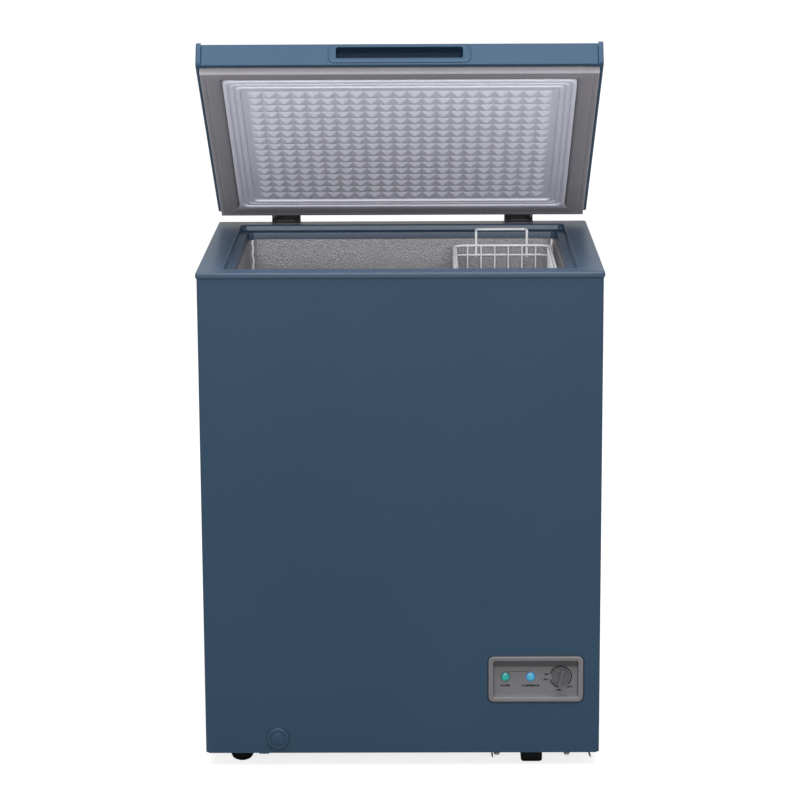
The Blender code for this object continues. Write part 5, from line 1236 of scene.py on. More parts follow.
@dataclass
class LidFrame:
    """Turns between the lid's closed place and its place at rest.

    Attributes:
        turn: From closed to rest.
        back: From rest to closed.
    """

    turn: Matrix = field(init=False)
    back: Matrix = field(init=False)

    def __post_init__(self) -> None:
        """Reads the hinge from the frame."""
        joint = joint_row("lid_hinge")
        place = Vector(joint["pos_m"])
        opened = math.radians(-joint["range_deg"][0])
        axis = Vector(joint["axis"])
        self.turn = Matrix.Translation(place) @ Matrix.Rotation(opened, 4, axis) @ Matrix.Translation(-place)
        self.back = self.turn.inverted()

    def box(self, node: str) -> tuple[Vector, Vector]:
        """Lowest and highest corner of a lid node when the lid is closed.

        Args:
            node: Name of the node.

        Returns:
            The lowest and the highest corner.
        """
        points = [self.back @ vert.co for vert in frame["nodes"][node].data.vertices]
        low = Vector([min(point[axis] for point in points) for axis in range(3)])
        high = Vector([max(point[axis] for point in points) for axis in range(3)])
        return low, high


@dataclass
class Lid(Assembly):
    """Painted lid skin's trims, handle, gasket and moulded liner.

    Attributes:
        place: Closed and open places of the lid.
        trim_edge: Radius of the end trims' edges.
        trim_corner: Corner radius of the end trims.
        pocket_inset_x: Wall of the handle beside its pocket.
        pocket_inset_low: Wall under the pocket.
        pocket_inset_high: Wall over the pocket.
        pocket_depth: Depth of the pocket.
        gasket_rib: Depth of the grooves round the gasket's wall.
        flange: Width of the liner's flange outside its ridges.
        columns: Pyramids from side to side.
        rows: Pyramids from front to back.
        pyramid: Height of a pyramid.
        margin_side: Flat width beside the field, from the outermost ridge.
        margin_front: Flat width in front of the field.
        margin_back: Flat width behind the field.
    """

    place: LidFrame = field(default_factory=LidFrame)
    trim_edge: float = 0.0016
    trim_corner: float = 0.0045
    pocket_inset_x: float = 0.012
    pocket_inset_low: float = 0.0078
    pocket_inset_high: float = 0.0046
    pocket_depth: float = 0.019
    gasket_rib: float = 0.0006
    flange: float = 0.022
    columns: int = 21
    rows: int = 17
    pyramid: float = 0.0045
    margin_side: float = 0.0370
    margin_front: float = 0.0384
    margin_back: float = 0.0324

    def build(self) -> None:
        """Makes the lid's finer pieces."""
        self.trims()
        self.handle()
        self.gasket()
        self.liner()

    def trims(self) -> None:
        """Makes the moulded end trims with rounded edges and a shallow channel along the outside."""
        for name, side in SIDES:
            node = f"lid_trim_{name}"
            low, high = self.place.box(node)
            inner, outer = (high.x, low.x) if side < 0 else (low.x, high.x)
            form = Form()
            edge = self.trim_edge
            stations = [(inner, 0.0), (outer - side * edge, 0.0)]
            stations += [(outer - side * edge * (1 - math.sin(math.radians(a))),
                          edge * (1 - math.cos(math.radians(a)))) for a in (22, 45, 68, 90)]
            stations += [(outer, edge + 0.003), (outer - side * 0.0006, edge + 0.0038),
                         (outer - side * 0.0006, edge + 0.0075), (outer, edge + 0.0083)]
            rings = []
            for x, inset in stations:
                outline = rounded_box((low.y + inset, low.z + inset), (high.y - inset, high.z - inset),
                                      max(self.trim_corner - inset * 0.6, 0.0012), 6)
                rings.append([Vector((x, y, z)) for y, z in outline])
            form.skin(rings)
            self.publish(form.turned(self.place.turn), f"lid_end_cap_{name}", Slot.LID_PAINT, Body.LID,
                         [node])

    def handle(self) -> None:
        """Makes the handle surround with its finger pocket, whose deep faces carry painted shade, and a dark
        ring round it as painted shadow.
        """
        low, high = self.place.box("lid_handle_insert")
        skin = self.place.box("lid_outer_panel")[0].y
        face, deep = low.y, low.y + self.pocket_depth
        inner_low = low + Vector((self.pocket_inset_x, 0, self.pocket_inset_low))
        inner_high = high - Vector((self.pocket_inset_x, 0, self.pocket_inset_high))
        rings = front_rings(inner_low, inner_high, (
            (-0.0012, 0.004, high.y), (-0.0012, 0.004, skin + 0.0002)))
        rings += front_rings(low, high, (
            (0.0003, 0.0088, skin), (0.0, 0.009, face + 0.0006), (0.0002, 0.0088, face + 0.0002),
            (0.0007, 0.0083, face), (0.0020, 0.0070, face), (0.0024, 0.0066, face + 0.0002)))
        rings += front_rings(inner_low, inner_high, (
            (-0.0016, 0.0050, face + 0.0002), (-0.0011, 0.0046, face), (-0.0004, 0.0040, face + 0.0002),
            (0.0, 0.0036, face + 0.0009), (0.0004, 0.0034, deep - 0.003), (0.0010, 0.0032, deep - 0.0010),
            (0.0024, 0.0026, deep), (0.0045, 0.0020, deep - 0.0006), (0.0070, 0.0012, deep - 0.0011)))
        form = Form()
        form.skin(rings)
        slack = 0.0001
        # painted shade: faces deep in the finger pocket take the darker copy of the lid paint
        for made in form.mesh.faces:
            if all(vert.co.y > face + 0.0008 and abs(vert.co.x) < inner_high.x + slack
                   and vert.co.z > inner_low.z - slack for vert in made.verts):
                made.material_index = 1
        self.publish(form.turned(self.place.turn), "lid_handle_surround", Slot.LID_PAINT, Body.LID,
                     ["lid_handle_insert"], [Slot.LID_PAINT, Extra.POCKET], crease=40)
        # painted shadow: a dark ring round the handle surround
        line = Form()
        line.skin(front_rings(low, high, ((-0.0007, 0.0097, skin - 0.00005), (-0.0006, 0.0096, skin - 0.0003),
                                          (-0.0001, 0.0091, skin - 0.0003), (0.0, 0.009, skin - 0.00005))),
                  loop=True)
        self.publish(line.turned(self.place.turn), "lid_handle_shadow_line", Slot.RUBBER, Body.LID,
                     finishes=[Extra.SEAL])

    def gasket(self) -> None:
        """Makes the magnetic gasket: ribbed wall, magnet pad, groove, inner fin and welded mitres."""
        low, high = self.place.box("lid_gasket")
        well = self.well()
        inner = ((well[0].x - 0.0013, well[0].y - 0.0013), (well[1].x + 0.0013, well[1].y + 0.0013))
        rise = high.z - low.z
        width = inner[0][0] - low.x
        rib = self.gasket_rib / width
        # Share of the width from outside to inside, and height above the magnet pad.
        steps = (
            (rib, rise), (rib, rise - 0.0012), (0.0, rise - 0.0016), (0.0, rise - 0.0034),
            (rib, rise - 0.0038), (rib, rise - 0.0054), (0.0, rise - 0.0058), (0.0, 0.0034),
            (0.008, 0.0017), (0.025, 0.0006), (0.05, 0.0001), (0.09, 0.0), (0.22, 0.0), (0.24, 0.0003),
            (0.255, 0.0007), (0.28, 0.0008), (0.305, 0.0006), (0.32, 0.0003), (0.35, 0.0002),
            (0.80, 0.0006), (0.86, 0.0010), (0.90, 0.0018), (0.93, 0.0028), (0.96, 0.0044),
            (0.985, 0.0062), (1.0, 0.0082), (1.0, rise))
        corners = ((low.x, low.y, inner[0][0], inner[0][1]), (high.x, low.y, inner[1][0], inner[0][1]),
                   (high.x, high.y, inner[1][0], inner[1][1]), (low.x, high.y, inner[0][0], inner[1][1]))

        def spots(share: float, level: float) -> Ring:
            """Corners of the gasket at a share of its width."""
            return [Vector((lerp(x, to_x, share), lerp(y, to_y, share), low.z + level))
                    for x, y, to_x, to_y in corners]

        form = Form()
        form.skin([spots(share, level) for share, level in steps], loop=True)
        self.publish(form.turned(self.place.turn), "gasket_extrusion", Slot.GASKET, Body.LID, ["lid_gasket"],
                     crease=28)
        welds = Form()
        for corner in range(4):
            welds.tube([spots(share, level)[corner] for share, level in steps[7:-1]], 0.00035, 6)
        self.publish(welds.turned(self.place.turn), "gasket_corner_welds", Slot.GASKET, Body.LID)

    def well(self) -> tuple[Vector, Vector]:
        """Outline of the liner's outermost ridge: its flange, drawn in by the flange's width.

        Returns:
            The lowest and the highest corner.
        """
        low, high = self.place.box("lid_inner_liner")
        flange = Vector((self.flange, self.flange, 0))
        return low + flange, high - flange

    def liner(self) -> None:
        """Makes the moulded liner: nested soft ridges round a field of shallow pyramids."""
        low, high = self.well()
        node_low, node_high = self.place.box("lid_inner_liner")
        flange_level = node_high.z - 0.0012
        tip = node_low.z
        level = tip + self.pyramid
        crest = level - 0.0035
        shelf = crest + 0.0008
        corners = [(-0.0205, flange_level, 0), (-0.0006, flange_level, 0.0010), (0.0006, crest, 0.0012),
                   (0.0060, crest, 0.0008), (0.0070, level, 0.0007), (0.0106, level, 0.0007),
                   (0.0116, shelf, 0.0008), (0.0152, shelf, 0.0008), (0.0162, level, 0.0007),
                   (0.0196, level, 0.0007), (0.0206, crest, 0.0008), (0.0250, crest, 0.0008),
                   (0.0262, level, 0.0007), (0.0290, level, 0)]
        form = Form()
        outer, least, draw = 0.012, 0.004, 0.20
        form.skin(plan_rings(low, high, [(inset, max(least, outer - max(inset, 0.0) * draw), z)
                                         for inset, z in eased(corners, steps=4)]), caps=False)
        self.field(form, low, high, level)
        made = self.publish(form.turned(self.place.turn), "liner_moulding", Slot.LID_LINER, Body.LID,
                            ["lid_inner_liner"], crease=24)
        wall = made.modifiers.new("wall", "SOLIDIFY")
        wall.thickness = 0.0008
        wall.offset = -1.0

    def field(self, form: Form, low: Vector, high: Vector, level: float) -> None:
        """Adds the pyramids and fills the flat margin round them.

        Args:
            form: Form that already holds the ridges.
            low: Lowest corner of the well.
            high: Highest corner of the well.
            level: Level of the field's base.
        """
        mesh = form.mesh
        border = [edge for edge in mesh.edges if len(edge.link_faces) == 1
                  and all(abs(vert.co.z - level) < 1e-5 for vert in edge.verts)]
        start = (low.x + self.margin_side, low.y + self.margin_front)
        end = (high.x - self.margin_side, high.y - self.margin_back)
        step_x = (end[0] - start[0]) / self.columns
        step_y = (end[1] - start[1]) / self.rows
        before = set(mesh.verts)
        # Share of the pyramid's half width, and share of its height.
        levels = ((1.0, -0.05), (0.965, 0.0), (0.93, 0.06), (0.5, 0.5), (0.10, 0.90), (0.05, 0.945),
                  (0.02, 0.96))
        cut = 0.08
        for column in range(self.columns):
            for row in range(self.rows):
                centre = Vector((start[0] + (column + 0.5) * step_x, start[1] + (row + 0.5) * step_y, 0))
                rings = []
                for reach, rise in levels:
                    ring = []
                    for turn in range(4):
                        side = ((-1, -1), (1, -1), (1, 1), (-1, 1))[turn]
                        first, second = (1 - cut, 1.0), (1.0, 1 - cut)
                        if turn % 2 == 0:
                            first, second = second, first
                        tip = 1.0 if reach == 1.0 else 1 - cut * 0.3
                        for share_x, share_y in (first, (tip, tip), second):
                            ring.append(Vector((centre.x + side[0] * share_x * reach * step_x / 2,
                                                centre.y + side[1] * share_y * reach * step_y / 2,
                                                level - self.pyramid * rise)))
                    rings.append(ring)
                form.skin(rings, caps=False)
                form.face([form.mesh.verts.new(point) for point in rings[-1]])
        fresh = [vert for vert in mesh.verts if vert not in before]
        bmesh.ops.remove_doubles(mesh, verts=fresh, dist=1e-5)
        edge_loop = [edge for edge in mesh.edges if len(edge.link_faces) == 1 and edge not in set(border)
                     and all(abs(vert.co.z - level) < 1e-6 for vert in edge.verts)]
        bmesh.ops.triangle_fill(mesh, use_beauty=True, use_dissolve=False, edges=border + edge_loop,
                                normal=(0, 0, -1))


@dataclass
class ControlPanel(Assembly):
    """Bezel with its tray, lamps, printed marks and thermostat knob.

    Attributes:
        wall: Width of the bezel's frame.
        arc_radius: Radius of the printed arcs round the knob.
        ticks: Ticks along each arc.
        knob_tilt: Turn of the knob's grip from upright, in degrees.
    """

    wall: float = 0.008
    arc_radius: float = 0.0168
    ticks: int = 11
    knob_tilt: float = 13.0

    def build(self) -> None:
        """Makes the panel's pieces."""
        self.bezel()
        self.lamps()
        self.marks()
        self.knob()

    @staticmethod
    def floor() -> float:
        """Depth of the tray's floor, where the lamps and the knob stand."""
        return joint_row("knob_turn")["pos_m"][1]

    def bezel(self) -> None:
        """Makes the bezel with eased edges and a sloped tray, and a dark ring round it as painted shadow."""
        low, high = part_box("control_bezel")
        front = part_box("outer_wrap")[0].y
        face, floor, wall = low.y, self.floor(), self.wall
        form = Form()
        form.skin(front_rings(low, high, (
            (wall - 0.0012, 0.0025, high.y - 0.0004), (wall - 0.0012, 0.0025, front - 0.0003),
            (0.0, 0.0085, front - 0.0003), (0.0, 0.0085, face + 0.0012), (0.0004, 0.0081, face + 0.0005),
            (0.0013, 0.0074, face), (0.0030, 0.0062, face), (wall - 0.0020, 0.0036, face + 0.0004),
            (wall - 0.0010, 0.0030, face + 0.0006), (wall - 0.0002, 0.0026, face + 0.0013),
            (wall, 0.0025, face + 0.0025), (wall + 0.0003, 0.0024, floor - 0.0012),
            (wall + 0.0008, 0.0022, floor - 0.0003), (wall + 0.0018, 0.0018, floor))))
        self.publish(form, "panel_bezel", Slot.PANEL, Body.CABINET, ["control_bezel"], crease=40)
        # painted shadow: a dark ring round the bezel
        seal = Form()
        seal.skin(front_rings(low, high, (
            (-0.0019, 0.0104, front - 0.00005), (-0.0014, 0.0099, front - 0.0007),
            (-0.0002, 0.0087, front - 0.0007), (0.0002, 0.0083, front - 0.00005))), loop=True)
        self.publish(seal, "panel_shadow_line", Slot.RUBBER, Body.CABINET, finishes=[Extra.SEAL])

    def lamps(self) -> None:
        """Makes the two domed lenses, each in a thin dark collar."""
        for node, slot in (("power_lamp", Slot.GREEN), ("run_lamp", Slot.BLUE)):
            centre = middle(*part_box(node), y=self.floor())
            form = Form()
            form.lathe(eased([(0.0073, -0.0004, 0), (0.0073, 0.0009, 0.0004), (0.0062, 0.0019, 0.0016),
                              (0.0036, 0.0026, 0.003), (0.0, 0.0028, 0)]), centre, Facing.FRONT, 36)
            self.publish(form, f"{node}_lens", slot, Body.CABINET, [node], crease=60)
            collar = Form()
            collar.lathe(eased([(0.0074, -0.0004, 0), (0.0074, 0.0004, 0.0001), (0.0078, 0.0004, 0.0001),
                                (0.0080, 0.0001, 0), (0.0080, -0.0004, 0)]), centre, Facing.FRONT, 36)
            self.publish(collar, f"{node}_collar", Slot.KNOB, Body.CABINET)

    def marks(self) -> None:
        """Adds the printed line over the lamps, the arcs round the knob and their plain words and ticks."""
        floor = self.floor() - 0.00003
        thickness = 0.00008
        power, run = middle(*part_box("power_lamp")), middle(*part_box("run_lamp"))
        knob = middle(*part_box("thermostat_knob"), y=floor)
        hub = (knob.x, knob.z)
        form = Form()
        over = power.z + 0.0088
        self.stroke(form, [(power.x + 0.0012, over), (run.x - 0.0022, over)], floor, 0.0005, thickness)
        for start, end in ((165.0, -45.0), (195.0, 262.0)):
            self.stroke(form, arc(hub, self.arc_radius, start, end, 40), floor, 0.0017, thickness)
        for start, turn, reach in ((140.0, -5.5, 0.0030), (205.0, 4.8, 0.0028)):
            for tick in range(self.ticks):
                angle = start + tick * turn
                ends = [arc(hub, self.arc_radius + out, angle, angle, 1)[0] for out in (0.0015, reach)]
                self.stroke(form, ends, floor, 0.0007, thickness)
        self.publish(form, "panel_marks", Slot.KNOB, Body.CABINET, finishes=[Extra.INK])
        lamp_word, dial_word = 0.0044, 0.0038
        for text, x, rise, size in (
                ("POWER", power.x, -0.0148, lamp_word), ("COMPRESSOR", run.x, -0.0148, lamp_word),
                ("OFF", knob.x - 0.0230, 0.0036, dial_word), ("MIN", knob.x - 0.0240, -0.0050, dial_word),
                ("MED", knob.x - 0.0024, -0.0222, dial_word), ("MAX", knob.x + 0.0142, -0.0166, dial_word)):
            self.word(text, Vector((x, floor, knob.z + rise)), size)

    @staticmethod
    def stroke(form: Form, points: Sequence[Pair], y: float, width: float, thickness: float) -> None:
        """Adds a printed stroke along points on the tray's floor.

        Args:
            form: Form to add to.
            points: Points as (x, z).
            y: Depth of the floor.
            width: Width of the stroke.
            thickness: Thickness of the print.
        """
        left, right = [], []
        for index, (x, z) in enumerate(points):
            before = points[max(index - 1, 0)]
            after = points[min(index + 1, len(points) - 1)]
            along = Vector((after[0] - before[0], after[1] - before[1])).normalized()
            left.append((x - along.y * width / 2, z + along.x * width / 2))
            right.append((x + along.y * width / 2, z - along.x * width / 2))
        rings = []
        for (lx, lz), (rx, rz) in zip(left, right):
            rings.append([Vector((lx, y, lz)), Vector((rx, y, rz)), Vector((rx, y - thickness, rz)),
                          Vector((lx, y - thickness, lz))])
        form.skin(rings)

    def word(self, text: str, centre: Vector, size: float) -> None:
        """Adds a plain printed word, upright and centred.

        Args:
            text: The word.
            centre: Its middle on the tray's floor.
            size: Height of the type.
        """
        curve = bpy.data.curves.new(f"print_{text.lower()}", "FONT")
        curve.body = text
        curve.size = size
        curve.align_x = "CENTER"
        curve.align_y = "CENTER"
        curve.extrude = 0.00004
        curve.offset = size * 0.048
        curve.resolution_u = 2
        holder = bpy.data.objects.new(curve.name, curve)
        bpy.context.scene.collection.objects.link(holder)
        bpy.context.view_layer.update()
        data = bpy.data.meshes.new_from_object(holder.evaluated_get(bpy.context.evaluated_depsgraph_get()))
        bpy.data.objects.remove(holder)
        data.transform(Matrix.Translation(centre) @ Matrix.Rotation(math.radians(90), 4, "X"))
        form = Form()
        form.mesh.from_mesh(data)
        bpy.data.meshes.remove(data)
        self.publish(form, f"print_{text.lower()}", Slot.KNOB, Body.CABINET,
                     finishes=[Extra.INK])

    def knob(self) -> None:
        """Makes the thermostat knob: skirt, dished face and a tilted grip bar with a pointer."""
        low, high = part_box("thermostat_knob")
        floor = self.floor()
        centre = middle(low, high, y=floor)
        radius = (high.x - low.x) / 2
        top = floor - low.y
        form = Form()
        form.lathe(eased([(0.0, 0.0004, 0), (radius, 0.0004, 0.0002), (radius, 0.0016, 0.0003),
                          (radius - 0.0007, 0.0020, 0.0004), (radius - 0.0009, 0.0052, 0.0012),
                          (radius - 0.0035, 0.0054, 0.0006), (radius - 0.0040, 0.0048, 0.0006),
                          (0.0, 0.0046, 0)]),
                   centre, Facing.FRONT, 56)
        across, upward, along = AXES[Facing.FRONT]
        tilt = math.radians(self.knob_tilt)
        bar_half, bar_long, pointer_half = 0.0037, radius * 0.95, 0.0005

        def tilted(outline: Sequence[Pair]) -> list[Pair]:
            """Outline turned with the grip."""
            return [(u * math.cos(tilt) + v * math.sin(tilt), -u * math.sin(tilt) + v * math.cos(tilt))
                    for u, v in outline]

        outline = tilted(rounded_box((-bar_half, -bar_long), (bar_half, bar_long), 0.0030, 6))
        rings = []
        for grow, level in ((1.10, 0.0040), (1.06, 0.0060), (1.0, top - 0.0016), (0.97, top - 0.0006),
                            (0.90, top - 0.0001), (0.80, top), (0.70, top - 0.0003)):
            rings.append([centre + across * u * grow + upward * v * (1 - (1 - grow) * 0.3) + along * level
                          for u, v in outline])
        form.skin(rings)
        form.mark = 1
        pointer = rounded_box((-pointer_half, bar_long * 0.3), (pointer_half, bar_long * 0.86), 0.0004, 3)
        form.slab(tilted(pointer), centre, Facing.FRONT, top - 0.0006, top + 0.00005, 0.00005)
        self.publish(form, "knob_moulding", Slot.KNOB, Body.KNOB, ["thermostat_knob"],
                     [Slot.KNOB, Slot.PANEL], crease=36)


@dataclass
class Drain(Assembly):
    """Front drain cap and the plug in the tank's floor."""

    def build(self) -> None:
        """Makes the cap, a dark ring round it as painted shadow, and the plug."""
        low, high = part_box("drain_cap")
        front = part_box("outer_wrap")[0].y
        radius = (high.x - low.x) / 2
        centre = middle(low, high, y=front)
        proud = front - low.y
        form = Form()
        form.lathe(eased([(0.0056, -0.0085, 0), (0.0056, 0.0003, 0), (radius, 0.0003, 0.0003),
                          (radius, proud * 0.52, 0.0012), (radius - 0.0022, proud * 0.80, 0.0014),
                          (0.0124, proud * 0.80, 0.0006), (0.0118, proud * 0.62, 0.0004),
                          (0.0111, proud * 0.62, 0.0004), (0.0104, proud * 0.90, 0.0008),
                          (0.0052, proud, 0.003), (0.0, proud, 0)]), centre, Facing.FRONT, 56)
        grip, half_wide, half_tall = 0.0112, 0.0009, 0.0022
        for side in (-1, 1):
            outline = rounded_box((side * grip - half_wide, -half_tall), (side * grip + half_wide, half_tall),
                                  0.0008, 4)
            form.slab(outline, centre, Facing.FRONT, proud * 0.3, proud * 0.86, 0.0004)
        self.publish(form, "drain_cap_moulding", Slot.CABINET_PAINT, Body.DRAIN_CAP, ["drain_cap"], crease=44)
        # painted shadow: a dark ring round the cap
        seal = Form()
        seal.lathe(eased([(radius - 0.002, 0.00005, 0), (radius + 0.0007, 0.00005, 0),
                          (radius + 0.0005, 0.0010, 0.0003), (radius + 0.0001, 0.0012, 0),
                          (radius - 0.002, 0.00025, 0)]), centre, Facing.FRONT, 56)
        self.publish(seal, "drain_cap_shadow_line", Slot.RUBBER, Body.DRAIN_CAP,
                     finishes=[Extra.SEAL])
        low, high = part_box("drain_plug")
        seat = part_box("inner_liner")[0].z + 0.001
        wide = (high.x - low.x) / 2
        tall = high.z - seat
        plug = Form()
        plug.lathe(eased([(0.0055, low.z - seat, 0), (0.0057, 0.0003, 0), (wide, 0.0003, 0.0002),
                          (wide, 0.0022, 0.0008), (wide * 0.86, tall * 0.45, 0.0016),
                          (wide * 0.70, tall * 0.42, 0.001), (wide * 0.5, tall * 0.36, 0.002),
                          (0.0045, tall * 0.42, 0.001), (0.0038, tall * 0.9, 0.0008), (0.0022, tall, 0.0006),
                          (0.0, tall, 0)]), middle(low, high, z=seat), Facing.UP, 44)
        self.publish(plug, "drain_plug_moulding", Slot.WHITE, Body.DRAIN_PLUG, ["drain_plug"], crease=44)


@dataclass
class Basket(Assembly):
    """White coated wire basket.

    Attributes:
        rim_wire: Radius of the rim and hook wires.
        thin_wire: Radius of the cage wires.
        corner: Corner radius in plan.
        floor_corner: Bend radius where the cage wires turn under.
        overhang: Reach of the hooks beyond the rim wires.
        hang: Drop from the collar's top to the rim wires.
        hook_half: Half the width of a hook.
        long_wires: Hoops of wire from front to back.
        cross_wires: Wires along the floor.
        hoops: Level wires and their spaces between floor and rim.
    """

    rim_wire: float = 0.0022
    thin_wire: float = 0.0014
    corner: float = 0.020
    floor_corner: float = 0.012
    overhang: float = 0.0245
    hang: float = 0.030
    hook_half: float = 0.043
    long_wires: int = 15
    cross_wires: int = 6
    hoops: int = 4

    def build(self) -> None:
        """Makes the wire basket as one welded piece."""
        low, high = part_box("storage_basket")
        hook_reach = (high.y - low.y) / 2
        middle_x, middle_y = (low.x + high.x) / 2, (low.y + high.y) / 2
        half_y = hook_reach - self.overhang
        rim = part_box("rim_collar")[1].z - self.hang - self.rim_wire
        floor = low.z + self.thin_wire
        form = Form()
        radius = self.rim_wire
        for level, wire in ((rim, radius), (rim - 0.016, self.thin_wire * 1.2)):
            ring = plan_ring((low.x + wire, middle_y - half_y), (high.x - wire, middle_y + half_y),
                             self.corner, level, RING_STEPS)
            form.tube(ring, wire, 12, closed=True)
        thin = self.thin_wire
        left, right = low.x + radius * 2 + thin, high.x - radius * 2 - thin
        near, far = middle_y - half_y + radius + thin, middle_y + half_y - radius - thin
        for index in range(self.long_wires):
            y = lerp(near + self.corner, far - self.corner, index / (self.long_wires - 1))
            spots = ((left, y, rim), (left, y, floor), (right, y, floor), (right, y, rim))
            form.tube(bent([Vector(spot) for spot in spots], self.floor_corner), thin, 8)
        for index in range(self.cross_wires):
            x = lerp(left + self.corner, right - self.corner, index / (self.cross_wires - 1))
            under = floor + thin * 1.8
            spots = ((x, near, rim), (x, near, under), (x, far, under), (x, far, rim))
            form.tube(bent([Vector(spot) for spot in spots], self.floor_corner), thin, 8)
        for index in range(1, self.hoops):
            level = lerp(floor, rim, index / self.hoops)
            ring = plan_ring((left + thin, near + thin), (right - thin, far - thin), self.corner - 0.004,
                             level, 6)
            form.tube(ring, thin, 8, closed=True)
        ledge = high.z - radius
        for side in (-1, 1):
            inner = middle_y + side * (half_y + 2 * radius)
            outer = middle_y + side * (hook_reach - radius)
            near_x, far_x, low_z = middle_x - self.hook_half, middle_x + self.hook_half, rim - 0.020
            spots = ((near_x, inner, low_z), (near_x, inner, ledge), (near_x, outer, ledge),
                     (far_x, outer, ledge), (far_x, inner, ledge), (far_x, inner, low_z))
            form.tube(bent([Vector(spot) for spot in spots], 0.005), radius, 12)
        self.publish(form, "wire_basket", Slot.WHITE, Body.BASKET, ["storage_basket"], crease=60)


@dataclass
class Feet(Assembly):
    """Rubber feet: domed glides on the left, moulded blocks on the right."""

    def build(self) -> None:
        """Makes the four feet."""
        for end in ("front", "rear"):
            low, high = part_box(f"foot_left_{end}")
            radius = (high.x - low.x) / 2
            form = Form()
            top = high.z
            form.lathe(eased([(0.0, 0.0, 0), (radius * 0.50, 0.0, 0.003), (radius * 0.90, 0.0030, 0.006),
                              (radius * 1.10, 0.0090, 0.004), (radius * 1.10, top * 0.62, 0.0008),
                              (radius * 0.95, top * 0.66, 0.0006), (radius * 0.95, top * 0.74, 0.0006),
                              (radius, top * 0.78, 0.0006), (radius, top, 0), (0.0, top, 0)]),
                       middle(low, high, z=0.0), Facing.UP, 48)
            self.publish(form, f"glide_{end}", Slot.RUBBER, Body.CABINET, [f"foot_left_{end}"], crease=44)
            low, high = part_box(f"foot_right_{end}")
            form = Form()
            rows = [(inset, 0.0035, lerp(low.z, high.z, share)) for share, inset in (
                (0.0, 0.0022), (0.03, 0.0012), (0.09, 0.0003), (0.16, 0.0), (0.55, 0.0), (0.58, 0.0006),
                (0.66, 0.0006), (0.69, 0.0), (1.0, 0.0))]
            form.skin(plan_rings(low, high, rows, 6))
            self.publish(form, f"block_foot_{end}", Slot.RUBBER, Body.CABINET, [f"foot_right_{end}"],
                         crease=44)


